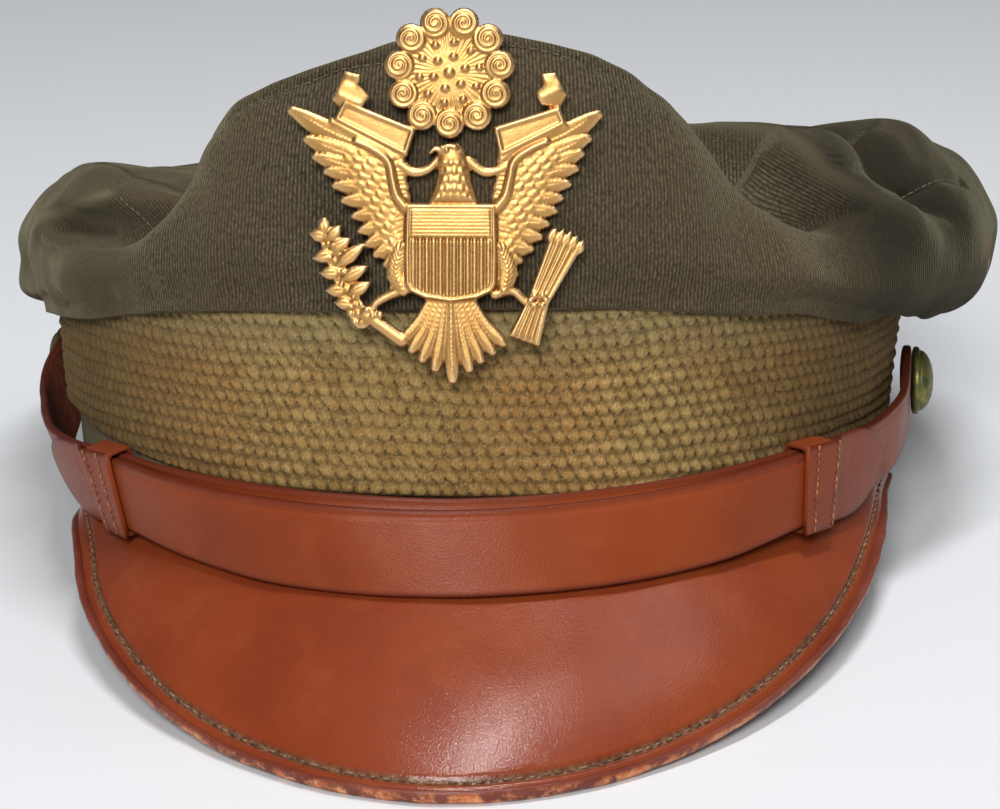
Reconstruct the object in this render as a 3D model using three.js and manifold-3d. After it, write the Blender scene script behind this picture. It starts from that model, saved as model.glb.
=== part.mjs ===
// Officer's soft-crowned service cap: a hollow wool crown fallen over its sides, a cloth band
// covered with braid, a leather visor with a bound edge, a two-layer leather chin strap with
// its loops and buttons, and a gilt spread-eagle badge. Millimetres, +Z up, front toward -Y.
import * as THREE from "three";
import { mergeVertices } from "three/addons/utils/BufferGeometryUtils.js";
import Module from "manifold-3d";

// Everything is laid out square to the band, then the whole cap is tipped back to rest on
// the visor's edge and the rear of the band.
const TIP_BACK = THREE.MathUtils.degToRad(8.6);
const LIFT = 15;
// The origin is the middle of the cap's outline on that surface, here from the band's axis.
const ORIGIN = { x: 3.5, y: -12.1 };

// Band: an oval that widens a little upward.
const BAND_HEIGHT = 44.5;
const BAND_FOOT = { halfWidth: 84, halfLength: 100 };
const BAND_TOP = { halfWidth: 88, halfLength: 103 };
const BRAID_THICKNESS = 1.5;
const BAND_THICKNESS = 2.5;
const BAND_HEM = -5.5;
const FIT = 0.3;

// Crown: cloth wall, its hem turned back up under the overhang, and the waves and rings of the
// top panel.
const CROWN_WALL = 2;
const HEM = { clearance: 0.6, tuck: 7, sag: 0.8, tightLift: 3, overhang: 4, fade: 3 };
const PANEL = { waves: 9, step: 3, shoulder: 0.72, inner: 0.36, shoulderOut: 0.64, innerOut: 0.32 };
const CROWN_STEPS_FRONT = 40;
const CROWN_STEPS_REAR = 26;

// Profile of the crown at each angle round the band (0 is the front, + is the wearer's left):
// distance from the band's axis and height of each station, from the hem up to the crest,
// and the height of the top panel inside the crest.
const CROWN_COLUMNS = [
  "angle", "hemOut", "hemZ", "lowOut", "lowZ", "foldOut", "foldZ", "highOut", "highZ",
  "rimOut", "rimZ", "crestOut", "crestZ", "topZ",
];
const CROWN_SECTIONS = [
  [-165, 107, 27, 114, 33, 117, 40, 115, 46, 110, 50, 101, 52, 51],
  [-140, 105, 27, 111, 32, 114, 39, 112, 45, 107, 49.5, 98, 51.5, 51],
  [-115, 98, 27, 104, 31, 107, 38, 105, 45, 99, 51, 88, 53, 51],
  [-92, 92, 28, 97, 32, 99, 39, 96, 46, 90, 53, 81, 56, 53],
  [-76, 91, 30, 92.5, 35, 93.5, 42.5, 91.5, 49, 88, 54.5, 79, 60, 55],
  [-62, 92.6, 32, 94, 38.5, 93, 46.5, 90, 51.5, 88, 55.5, 79, 60.5, 55],
  [-50, 95.5, 34, 97.5, 40.5, 95.5, 47.5, 91, 52.5, 87, 57, 79, 59, 55],
  [-41, 98, 36.5, 99.5, 44, 97, 50, 92, 55, 86, 59, 78, 60, 57],
  [-33, 100, 38.5, 101.5, 46, 100, 54, 96, 60, 91, 65, 84, 67, 64],
  [-25, 102, 40, 103.3, 50, 102, 59, 100, 68, 97, 74, 91, 76, 72],
  [-15, 104, 41, 105, 51, 104, 62, 102, 72, 99, 80, 94, 83, 77],
  [0, 105.6, 42, 106, 52, 106, 64, 104, 76, 101, 85, 95, 88.6, 79],
  [13, 104.6, 41.8, 105.2, 52, 105, 64, 103, 76, 100, 83, 94, 85.5, 78],
  [22, 103, 40.5, 103.8, 50, 102.5, 61, 100, 70, 97, 76, 90, 78, 73],
  [30, 101, 39, 102, 47, 100, 55, 97, 61, 92, 66, 85, 68, 66],
  [38, 98.8, 38, 101, 45, 98, 51, 93, 55, 87, 58, 79, 60, 62],
  [47, 97, 35, 100, 41, 98, 47.5, 93, 53, 87, 59, 78, 65, 67],
  [60, 95.5, 32, 100, 38, 100, 46, 96, 54, 91, 61, 81, 67, 66],
  [75, 95, 30, 102, 36, 104, 45, 102, 54, 94, 62, 83, 66, 65],
  [92, 95, 29, 103, 35, 107, 45, 105, 54, 98, 62, 85, 67, 64],
  [115, 102, 27, 109, 33, 113, 43, 111, 52, 105, 60, 92, 63, 59],
  [140, 107, 27, 114, 33, 118, 42, 115, 49, 109, 54, 98, 56, 54],
];

// Folds laid on the crown: height (+ a ridge, - a dent), half width, sharpness (2 is round)
// and the path as angle and station (2 hem, 3 low, 4 fold, 5 high, 6 rim, 7 crest, 8 top).
const FOLDS = [
  // On the wearer's right: hollow, crease, lower roll, ridge, flank of the raised front, valley.
  { height: -5, width: 9, power: 2, path: [[-38, 5.0], [-50, 5.1], [-62, 4.9]] },
  { height: -3, width: 4, power: 1.6, path: [[-37, 4.4], [-49, 4.5], [-60, 4.6], [-66, 4.6]] },
  { height: 1, width: 8, power: 2, path: [[-42, 3.6], [-56, 3.6], [-66, 3.6]] },
  { height: 2, width: 5, power: 2, path: [[-53, 6.0], [-62, 5.5], [-69, 5.0], [-73, 4.4], [-72, 3.9]] },
  { height: 1.5, width: 5, power: 2, path: [[-31, 5.4], [-33, 4.7], [-35, 3.9]] },
  { height: -5, width: 6, power: 2, path: [[-42, 7.6], [-39, 7], [-36, 6.2], [-36, 5.4]] },
  // On the left: valley, ridge, second valley, dent.
  { height: -5, width: 5, power: 2, path: [[33, 7.5], [34, 6.3], [36, 5.75], [45, 5.3]] },
  { height: 4, width: 7, power: 2, path: [[47, 8.2], [48, 7.2], [50, 6.2], [54, 5.3], [59, 4.6]] },
  { height: -4, width: 6, power: 2, path: [[66, 8.2], [62, 7.0], [61, 6.0], [65, 5.2]] },
  { height: -3.5, width: 8, power: 2, path: [[42, 6.6], [45, 5.95]] },
];
const FOLD_SCALE = { perDegree: 1.62, perStation: 12 };

// Visor: centre line of its bound edge, from the left corner to the right, and the height of
// its seam with the band at each row.
const VISOR_EDGE = [
  { angle: -64, out: 86.2, z: -6.2, root: -3.4 },
  { angle: -57, out: 91.0, z: -8.0, root: -4.8 },
  { angle: -50, out: 96.4, z: -10.7, root: -5.6 },
  { angle: -43, out: 103.5, z: -16.2, root: -5.8 },
  { angle: -36, out: 110.6, z: -20.9, root: -5.4 },
  { angle: -30, out: 117.1, z: -24.6, root: -4.8 },
  { angle: -25, out: 122.4, z: -27.5, root: -4.2 },
  { angle: -20, out: 127.3, z: -30.1, root: -3.8 },
  { angle: -16, out: 131.2, z: -31.8, root: -3.5 },
  { angle: -8, out: 138.1, z: -33.8, root: -3.4 },
  { angle: 0, out: 141.0, z: -34.5, root: -3.2 },
  { angle: 8, out: 138.0, z: -33.8, root: -3.0 },
  { angle: 15, out: 132.1, z: -32.1, root: -2.9 },
  { angle: 23.5, out: 123.9, z: -28.3, root: -3.2 },
  { angle: 33.5, out: 113.6, z: -22.8, root: -3.9 },
  { angle: 40, out: 107.3, z: -19.2, root: -4.4 },
  { angle: 47.5, out: 100.6, z: -15.1, root: -4.2 },
  { angle: 56.5, out: 93.8, z: -10.2, root: -2.6 },
  { angle: 67, out: 87.7, z: -4.4, root: -0.5 },
  { angle: 74, out: 86.2, z: -1.5, root: 2.1 },
];
const VISOR_THICKNESS = 2.6;
const VISOR_BOW = 0.8;
const VISOR_LIFT = 0.45;
const VISOR_ROOT = { middle: 0.72, corner: 1.02 };
const EDGE_CLEARANCE = 0.5;
const VISOR_ACROSS = 40;
const VISOR_DEEP = 4;
const EDGE_RADIUS = 2;

// Chin strap: clearance of the rear layer's middle from the band, its height, how far its foot
// leans out, and half its width. It is buttoned on at both ends.
const STRAP_PATH = [
  { angle: -107, off: 4.4, z: 16.0, lean: -5, half: 7.4 },
  { angle: -103, off: 4.6, z: 14.8, lean: -10, half: 7.5 },
  { angle: -98, off: 4.3, z: 12.2, lean: -16, half: 7.5 },
  { angle: -91, off: 3.9, z: 9.2, lean: -23, half: 7.5 },
  { angle: -84, off: 3.8, z: 6.3, lean: -22, half: 7.5 },
  { angle: -77, off: 3.5, z: 4.9, lean: -19, half: 7.5 },
  { angle: -69, off: 3.6, z: 4.0, lean: -21, half: 7.5 },
  { angle: -60, off: 4.0, z: 3.1, lean: -23, half: 7.5 },
  { angle: -51, off: 3.6, z: 2.9, lean: -21, half: 7.3 },
  { angle: -43, off: 3.2, z: 3.2, lean: -16, half: 7.2 },
  { angle: -30, off: 4.8, z: 2.3, lean: -11, half: 7.5 },
  { angle: -15, off: 5.9, z: 1.0, lean: 3, half: 7.7 },
  { angle: 0, off: 5.2, z: 0.5, lean: 14, half: 7.7 },
  { angle: 15, off: 3.8, z: 1.2, lean: 16, half: 7.7 },
  { angle: 27, off: 2.8, z: 2.5, lean: 7, half: 7.5 },
  { angle: 40, off: 2.5, z: 4.5, lean: -4, half: 7.2 },
  { angle: 50, off: 2.8, z: 5.1, lean: -7, half: 7.3 },
  { angle: 59, off: 3.3, z: 6.1, lean: -10, half: 7.5 },
  { angle: 67, off: 4.2, z: 9.1, lean: -9, half: 7.5 },
  { angle: 75, off: 3.6, z: 11.9, lean: -2, half: 7.5 },
  { angle: 84, off: 3.1, z: 14.6, lean: 0, half: 7.5 },
  { angle: 89, off: 2.8, z: 15.6, lean: 0, half: 7.4 },
];
const STRAP = { thickness: 1.6, layerGap: 0.45, hidden: 1.2, hideFade: 4, endRound: 6, step: 3 };
const FRONT_LAYER = { from: -46, to: 44, dropMiddle: 2.2, dropEnds: 0.2, dropReach: 38 };
const LOOPS = {
  strap_loop_left: { lip: -40.5, ringEnd: -46, tip: -60 },
  strap_loop_right: { lip: 39.5, ringEnd: 44.5, tip: 58 },
};
const LOOP = { thickness: 1, tipLength: 8, slope: 3, lift: 0.3, step: 1 };
const BUTTONS = { button_left: -102, button_right: 84 };
const BUTTON = { radius: 7, height: 4.4, rim: 1.1 };

// Badge, in its own plane: x to the right, y up, from the middle of the shield.
const BADGE = { x: -0.7, y: -107.1, z: 52.3, lean: 4, bend: 170, relief: 2.2, low: 1.4 };
const SHIELD = { halfWidth: 8, top: 8.4, side: -6.6, foot: -8.8 };
const FEATHERS = [
  { tipX: 28.8, tipY: 25.3, rootX: 9.5, rootY: 16.5, half: 1.9 },
  { tipX: 26.2, tipY: 19.8, rootX: 9.6, rootY: 14.8, half: 1.8 },
  { tipX: 24.5, tipY: 16.8, rootX: 9.4, rootY: 13.2, half: 1.7 },
  { tipX: 22.4, tipY: 13.9, rootX: 9.0, rootY: 11.6, half: 1.7 },
  { tipX: 20.8, tipY: 11.2, rootX: 8.6, rootY: 9.6, half: 1.6 },
  { tipX: 19.2, tipY: 8.6, rootX: 8.2, rootY: 7.6, half: 1.6 },
  { tipX: 17.2, tipY: 5.8, rootX: 7.8, rootY: 5.4, half: 1.6 },
  { tipX: 15.6, tipY: 3.0, rootX: 7.5, rootY: 3.2, half: 1.6 },
  { tipX: 13.8, tipY: 0.2, rootX: 7.4, rootY: 1.0, half: 1.5 },
  { tipX: 11.4, tipY: -2.6, rootX: 7.2, rootY: -1.2, half: 1.5 },
  { tipX: 10.8, tipY: -5.4, rootX: 7.0, rootY: -3.6, half: 1.5 },
];
const WING_ARM = [[28, 24.6], [20, 20.4], [13.6, 17.4], [10.2, 14.6], [9.2, 10.6], [7.6, 7.4]];
const BANNERS = [
  { x0: -19.2, y0: 24.4, x1: -7.2, y1: 19.0, half: 2.5 },
  { x0: 8.6, y0: 18.8, x1: 18.8, y1: 23.2, half: 2.6 },
];
const SCROLL_ENDS = [
  { x0: -20.6, y0: 26.8, x1: -16.6, y1: 29.4, half: 2.4 },
  { x0: 18.2, y0: 25.6, x1: 16.0, y1: 30.0, half: 2.3 },
];
const SWAGS = [
  [[-8.6, 15.6], [-5.6, 13.6], [-2.8, 14.2], [-1.4, 16.6]],
  [[3.2, 15.0], [6.2, 13.6], [9.8, 14.8]],
];
const ROSETTE = { x: -0.3, y: 30.8, core: 8.2, ring: 8.7, curls: 11, curl: 2.65 };
const NECK = [[-3.8, 8], [-1.8, 15], [-2.2, 17.2], [0.4, 18.6], [3.0, 16], [4.6, 8]];
const BEAK = { x0: -0.6, y0: 17.2, x1: -3.4, y1: 17.4, half: 0.9 };
const TAIL = { topY: -8, topHalf: 3.4, feathers: 9, spread: 74, length: 14.6, half: 1.5, rootY: -7.5 };
const SPRIG = [[-14.6, -11.6], [-16.6, -8.6], [-19.2, -4.2], [-21.8, 1.6]];
const LEAVES = [
  { at: 0.98, side: 0, length: 4.2 },
  { at: 0.86, side: 1, length: 3.6 },
  { at: 0.86, side: -1, length: 3.6 },
  { at: 0.66, side: 1, length: 4.0 },
  { at: 0.66, side: -1, length: 4.0 },
  { at: 0.46, side: 1, length: 4.2 },
  { at: 0.46, side: -1, length: 4.2 },
  { at: 0.26, side: 1, length: 4.0 },
  { at: 0.26, side: -1, length: 4.0 },
];
const STEM = [[-15.6, -10.4], [-12.2, -13.8], [-8.2, -15.6]];
const ARROWS = { x0: 13.2, y0: -15.4, x1: 20.8, y1: 4.6, foot: 2.4, grip: 1.7, head: 3.2, gripAt: 0.34 };
const LEGS = [
  [[-7.4, -6.6], [-10.8, -7.6], [-14.0, -10.2]],
  [[7.4, -6.6], [11.4, -6.8], [14.6, -9.2]],
];

const { atan2, cos, hypot, max, min, sin } = Math;
const rad = THREE.MathUtils.degToRad;
const clamp01 = (v) => min(1, max(0, v));
const smooth = (v) => {
  const t = clamp01(v);
  return t * t * (3 - 2 * t);
};
const mix = (a, b, t) => a + (b - a) * t;

// Smooth curve through rows of numbers at rising knots.
function spline(knots, rows, x) {
  const last = knots.length - 1;
  let i = 0;
  while (i < last - 1 && x >= knots[i + 1]) i += 1;
  const h = knots[i + 1] - knots[i];
  const u = (x - knots[i]) / h;
  const slope = (k, c) => {
    const a = max(0, k - 1);
    const b = min(last, k + 1);
    return (rows[b][c] - rows[a][c]) / (knots[b] - knots[a]);
  };
  return rows[i].map((v, c) => {
    const w = rows[i + 1][c];
    const tangents = (u ** 3 - 2 * u * u + u) * slope(i, c) + (u ** 3 - u * u) * slope(i + 1, c);
    return mix(v, w, 3 * u * u - 2 * u ** 3) + h * tangents;
  });
}

// Distance of the band's outer face from its axis.
function bandOut(angle, z) {
  const v = z / BAND_HEIGHT;
  const a = mix(BAND_FOOT.halfWidth, BAND_TOP.halfWidth, v);
  const b = mix(BAND_FOOT.halfLength, BAND_TOP.halfLength, v);
  return (a * b) / hypot(b * sin(angle), a * cos(angle));
}

const polar = (angle, out, z) => new THREE.Vector3(out * sin(angle), -out * cos(angle), z);

// Height at which the band meets the surface the tipped cap rests on.
const restZ = (y) => -(LIFT - y * sin(TIP_BACK)) / cos(TIP_BACK);

function solid(points, faces) {
  const position = points.flatMap((p) => [p.x, p.y, p.z]);
  let volume = 0;
  for (const [a, b, c] of faces)
    volume += points[a].dot(new THREE.Vector3().crossVectors(points[b], points[c]));
  const outward = volume < 0 ? faces.map(([a, b, c]) => [a, c, b]) : faces;
  const geometry = new THREE.BufferGeometry();
  geometry.setAttribute("position", new THREE.Float32BufferAttribute(position, 3));
  geometry.setIndex(outward.flat());
  return geometry;
}

// Rings of equal length joined side by side, closed round and either closed along or capped.
function loft(rings, closedAlong) {
  const n = rings[0].length;
  const faces = [];
  const last = closedAlong ? rings.length : rings.length - 1;
  for (let i = 0; i < last; i += 1) {
    const k = (i + 1) % rings.length;
    for (let j = 0; j < n; j += 1) {
      const m = (j + 1) % n;
      faces.push([i * n + j, k * n + j, k * n + m], [i * n + j, k * n + m, i * n + m]);
    }
  }
  if (!closedAlong)
    for (let j = 1; j < n - 1; j += 1) {
      const end = (rings.length - 1) * n;
      faces.push([0, j, j + 1], [end, end + j + 1, end + j]);
    }
  return solid(rings.flat(), faces);
}

// Crown

const crownKnots = [];
const crownRows = [];
for (const turn of [-1, 0, 1])
  for (const row of CROWN_SECTIONS) {
    crownKnots.push(row[0] + 360 * turn);
    crownRows.push(row.slice(1));
  }
const column = (name) => CROWN_COLUMNS.indexOf(name) - 1;

// Waves of the top panel's rim: cosine and sine share of each number of waves round.
const panelWaves = [];
for (let n = 0; n <= PANEL.waves; n += 1) {
  const wave = { cosine: 0, sine: 0 };
  const share = ((n === 0 ? 1 : 2) * PANEL.step) / 360;
  for (let degrees = -180; degrees < 180; degrees += PANEL.step) {
    const z = spline(crownKnots, crownRows, degrees)[column("topZ")];
    wave.cosine += share * z * cos(n * rad(degrees));
    wave.sine += share * z * sin(n * rad(degrees));
  }
  panelWaves.push(wave);
}

// Height of the top panel, which hangs like stretched cloth: the waves of its rim die out
// toward the middle. The reach is 1 at the rim and 0 at the middle.
function panelZ(degrees, reach) {
  const height = (wave, n) => wave.cosine * cos(n * rad(degrees)) + wave.sine * sin(n * rad(degrees));
  return panelWaves.reduce((sum, wave, n) => sum + reach ** n * height(wave, n), 0);
}

function crownStations(degrees) {
  const row = spline(crownKnots, crownRows, degrees);
  const at = (name) => row[column(name)];
  const hemOut = at("hemOut");
  const hemZ = at("hemZ");
  const hang = smooth((hemOut - bandOut(rad(degrees), hemZ) - HEM.overhang) / HEM.fade);
  const edgeZ = hemZ + HEM.tuck * hang;
  const edge = [bandOut(rad(degrees), edgeZ) + HEM.clearance + CROWN_WALL * (1 - hang), edgeZ];
  const hem = [hemOut, hemZ + HEM.tightLift * (1 - hang)];
  const under = [(edge[0] + hem[0]) / 2, (edge[1] + hem[1]) / 2 - HEM.sag * hang];
  const crestOut = at("crestOut");
  return [
    edge,
    under,
    hem,
    [at("lowOut"), at("lowZ")],
    [at("foldOut"), at("foldZ")],
    [at("highOut"), at("highZ")],
    [at("rimOut"), at("rimZ")],
    [crestOut, at("crestZ")],
    [PANEL.shoulderOut * crestOut, panelZ(degrees, PANEL.shoulder)],
    [PANEL.innerOut * crestOut, panelZ(degrees, PANEL.inner)],
    [0, panelZ(degrees, 0)],
  ];
}

const crownCache = new Map();
function crownBase(degrees, station) {
  if (!crownCache.has(degrees)) {
    const across = crownStations(degrees + 180)[9];
    crownCache.set(degrees, [...crownStations(degrees), [-across[0], across[1]]]);
  }
  const rows = crownCache.get(degrees);
  const [out, z] = spline(rows.map((_, i) => i), rows, station);
  return polar(rad(degrees), out, z);
}

function foldHeight(degrees, station) {
  let height = 0;
  for (const fold of FOLDS) {
    let nearest = Infinity;
    for (let i = 1; i < fold.path.length; i += 1) {
      const [a0, s0] = fold.path[i - 1];
      const [a1, s1] = fold.path[i];
      const x = (degrees - a0) * FOLD_SCALE.perDegree;
      const y = (station - s0) * FOLD_SCALE.perStation;
      const dx = (a1 - a0) * FOLD_SCALE.perDegree;
      const dy = (s1 - s0) * FOLD_SCALE.perStation;
      const t = clamp01((x * dx + y * dy) / (dx * dx + dy * dy));
      nearest = min(nearest, hypot(x - t * dx, y - t * dy));
    }
    height += fold.height * Math.exp(-((nearest / fold.width) ** fold.power));
  }
  return height;
}

// A point of the crown's outer face, or of its inner face when depth is the wall.
function crownPoint(degrees, station, depth) {
  const p = crownBase(degrees, station);
  const round = crownBase(degrees + 0.25, station).sub(crownBase(degrees - 0.25, station));
  const along = crownBase(degrees, min(10, station + 0.02)).sub(crownBase(degrees, max(0, station - 0.02)));
  const normal = round.cross(along).normalize();
  if (station >= 10) normal.set(0, 0, 1);
  p.addScaledVector(normal, foldHeight(degrees, station));
  if (station >= 2.4) {
    const angle = atan2(p.x, -p.y);
    const clear = bandOut(angle, min(p.z, BAND_HEIGHT)) + CROWN_WALL + HEM.clearance - hypot(p.x, p.y);
    const push = max(0, clear) * smooth((BAND_HEIGHT + 4.4 - p.z) / 2.4);
    p.x += push * sin(angle);
    p.y -= push * cos(angle);
  }
  return p.addScaledVector(normal, -depth);
}

function crown() {
  const angles = [];
  for (let i = 0; i < CROWN_STEPS_FRONT; i += 1) angles.push(mix(-88, 92, i / CROWN_STEPS_FRONT));
  for (let i = 0; i < CROWN_STEPS_REAR; i += 1) angles.push(mix(92, 272, i / CROWN_STEPS_REAR) % 360);
  const turned = angles.map((a) => (a > 180 ? a - 360 : a));
  const stations = [0, 1, 2, 2.5, 3, 3.5, 4, 4.4, 4.8, 5.3, 5.8, 6.4, 7, 7.6, 8.3, 9.1];
  const points = [];
  const faces = [];
  const n = turned.length;
  const skin = (depth) => {
    const first = points.length;
    for (const s of stations) for (const a of turned) points.push(crownPoint(a, s, depth));
    points.push(crownPoint(0, 10, depth));
    return first;
  };
  const outer = skin(0);
  const inner = skin(CROWN_WALL);
  for (const [first, flip] of [[outer, false], [inner, true]]) {
    const add = (a, b, c) => faces.push(flip ? [a, c, b] : [a, b, c]);
    for (let i = 0; i < n; i += 1) {
      const k = (i + 1) % n;
      for (let s = 0; s < stations.length - 1; s += 1) {
        const a = first + s * n;
        add(a + i, a + k, a + n + k);
        add(a + i, a + n + k, a + n + i);
      }
      const top = first + (stations.length - 1) * n;
      add(top + i, top + k, first + stations.length * n);
    }
  }
  for (let i = 0; i < n; i += 1) {
    const k = (i + 1) % n;
    faces.push([outer + k, outer + i, inner + i], [outer + k, inner + i, inner + k]);
  }
  return solid(points, faces);
}

// Band and braid

function ringAngles(count) {
  return Array.from({ length: count }, (_, i) => rad((360 * i) / count - 180));
}

function bandWall(angle, inset, z) {
  const out = bandOut(angle, z) - inset;
  return polar(angle, out, z);
}

function bandFoot(angle, inset) {
  const p = bandWall(angle, inset, BAND_HEM);
  p.z = max(BAND_HEM, restZ(p.y));
  return p;
}

function bandBase() {
  const outer = BRAID_THICKNESS + FIT;
  const inner = outer + BAND_THICKNESS;
  return loft(
    ringAngles(60).map((angle) => [
      bandFoot(angle, outer),
      bandWall(angle, outer, BAND_HEIGHT),
      bandWall(angle, inner, BAND_HEIGHT),
      bandFoot(angle, inner),
    ]),
    true,
  );
}

// The braid stops above the band's foot, a little higher on the wearer's right.
function braidFootZ(degrees) {
  return 7.2 + 5.2 * smooth((-degrees - 22) / 50) * smooth((degrees + 150) / 40);
}

function braid() {
  return loft(
    ringAngles(60).map((angle) => {
      const foot = braidFootZ(THREE.MathUtils.radToDeg(angle));
      return [
        bandWall(angle, 0, foot),
        bandWall(angle, 0, BAND_HEIGHT - 0.4),
        bandWall(angle, BRAID_THICKNESS, BAND_HEIGHT - 0.4),
        bandWall(angle, BRAID_THICKNESS, foot),
      ];
    }),
    true,
  );
}

// Visor

const edgeKnots = VISOR_EDGE.map((_, i) => i);
const edgeRows = VISOR_EDGE.map((row) => [row.angle, row.out, row.z, row.root]);

function visorEdgePoint(u) {
  const [angle, out, z] = spline(edgeKnots, edgeRows, u * (VISOR_EDGE.length - 1));
  return polar(rad(angle), out, z);
}

// A point of the visor's seam along the foot of the band.
function visorRootPoint(u) {
  const [angle, , , z] = spline(edgeKnots, edgeRows, u * (VISOR_EDGE.length - 1));
  const aside = Math.abs(2 * u - 1);
  const beside = bandOut(rad(angle), z) - BRAID_THICKNESS;
  const out = beside + VISOR_THICKNESS * mix(VISOR_ROOT.middle, VISOR_ROOT.corner, smooth(aside));
  return polar(rad(angle), out, z);
}

function visorPoint(u, v, depth) {
  const root = visorRootPoint(u);
  const ruling = visorEdgePoint(u).sub(root);
  const length = ruling.length();
  ruling.normalize();
  const before = max(0, u - 0.01);
  const after = min(1, u + 0.01);
  const tangent = visorEdgePoint(after).sub(visorEdgePoint(before)).normalize();
  const square = Math.sqrt(1 - ruling.dot(tangent) ** 2);
  const reach = max(0.4, length - (EDGE_RADIUS + EDGE_CLEARANCE) / square);
  const across = visorRootPoint(after).add(visorEdgePoint(after));
  across.sub(visorRootPoint(before)).sub(visorEdgePoint(before));
  const normal = ruling.clone().cross(across).normalize();
  const bow = VISOR_BOW * 4 * v * (1 - v) * smooth(reach / 40);
  const lift = EDGE_RADIUS * VISOR_LIFT * v;
  return root.addScaledVector(ruling, reach * v).addScaledVector(normal, bow + lift - depth);
}

function visor() {
  const rings = [];
  for (let i = 0; i <= VISOR_ACROSS; i += 1) {
    const u = i / VISOR_ACROSS;
    const ring = [];
    for (let j = 0; j <= VISOR_DEEP; j += 1) ring.push(visorPoint(u, j / VISOR_DEEP, 0));
    for (let j = VISOR_DEEP; j >= 0; j -= 1) ring.push(visorPoint(u, j / VISOR_DEEP, VISOR_THICKNESS));
    rings.push(ring);
  }
  return loft(rings, false);
}

function visorEdge() {
  const rings = [];
  for (let i = 0; i <= VISOR_ACROSS; i += 1) {
    const u = i / VISOR_ACROSS;
    const centre = visorEdgePoint(u);
    const tangent = visorEdgePoint(min(1, u + 0.01)).sub(visorEdgePoint(max(0, u - 0.01))).normalize();
    const side = visorEdgePoint(u).sub(visorRootPoint(u));
    side.addScaledVector(tangent, -side.dot(tangent)).normalize();
    const up = tangent.clone().cross(side);
    const ring = [];
    for (let j = 0; j < 8; j += 1) {
      const turn = ((j + 0.5) * Math.PI) / 4;
      const p = centre.clone().addScaledVector(side, EDGE_RADIUS * cos(turn));
      ring.push(p.addScaledVector(up, EDGE_RADIUS * sin(turn)));
    }
    rings.push(ring);
  }
  return loft(rings, false);
}

// Chin strap

const strapKnots = STRAP_PATH.map((row) => row.angle);
const strapRows = STRAP_PATH.map((row) => [row.off, row.z, row.lean, row.half]);
const strapEnds = [strapKnots[0], strapKnots[strapKnots.length - 1]];

function strapMiddle(degrees) {
  const [off, z] = spline(strapKnots, strapRows, degrees);
  const angle = rad(degrees);
  return polar(angle, bandOut(angle, z) + off, z);
}

const strapHalf = (degrees) => spline(strapKnots, strapRows, degrees)[3];

// Local frame of the strap: along, outward, and across its width upward.
function strapFrame(degrees) {
  const middle = strapMiddle(degrees);
  const along = strapMiddle(degrees + 0.5).sub(strapMiddle(degrees - 0.5)).normalize();
  const lean = rad(spline(strapKnots, strapRows, degrees)[2]);
  const angle = rad(degrees);
  const up = polar(angle, -sin(lean), cos(lean));
  up.addScaledVector(along, -up.dot(along)).normalize();
  const outward = up.clone().cross(along).multiplyScalar(-1);
  if (outward.dot(polar(angle, 1, 0)) < 0) outward.multiplyScalar(-1);
  return { middle, along, outward, up };
}

function strapRing(frame, out0, out1, low, high) {
  const at = (o, w) => frame.middle.clone().addScaledVector(frame.outward, o).addScaledVector(frame.up, w);
  return [at(out0, low), at(out1, low), at(out1, high), at(out0, high)];
}

// A length of leather between two angles, stepped on the same grid for every layer.
function strapBar(from, to, step, section) {
  const low = min(from, to);
  const high = max(from, to);
  const stops = [low];
  for (let degrees = (Math.floor(low / step) + 1) * step; degrees < high; degrees += step)
    if (degrees - low > 0.2 && high - degrees > 0.2) stops.push(degrees);
  stops.push(high);
  return loft(stops.map((degrees) => strapRing(strapFrame(degrees), ...section(degrees))), false);
}

const halfThick = STRAP.thickness / 2;
const frontIn = halfThick + STRAP.layerGap;
const frontOut = frontIn + STRAP.thickness;

// The rear layer is rounded at both ends and pared along its foot where the front layer hides it.
function strapLong() {
  return strapBar(...strapEnds, STRAP.step, (degrees) => {
    const toEnd = min(degrees - strapEnds[0], strapEnds[1] - degrees) / STRAP.endRound;
    const half = strapHalf(degrees) * Math.sqrt(max(0.15, 1 - (1 - clamp01(toEnd)) ** 2));
    const inside = min(degrees - FRONT_LAYER.from, FRONT_LAYER.to - degrees) + 1;
    const under = smooth(inside / STRAP.hideFade);
    return [-halfThick, halfThick, -half + STRAP.hidden * under, half];
  });
}

function frontDrop(degrees) {
  const t = clamp01(Math.abs(degrees) / FRONT_LAYER.dropReach);
  return mix(FRONT_LAYER.dropMiddle, FRONT_LAYER.dropEnds, t * t);
}

function strapShort() {
  return strapBar(FRONT_LAYER.from, FRONT_LAYER.to, STRAP.step, (degrees) => {
    const drop = frontDrop(degrees);
    return [frontIn, frontOut, -strapHalf(degrees) - drop, strapHalf(degrees) - drop];
  });
}

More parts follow.
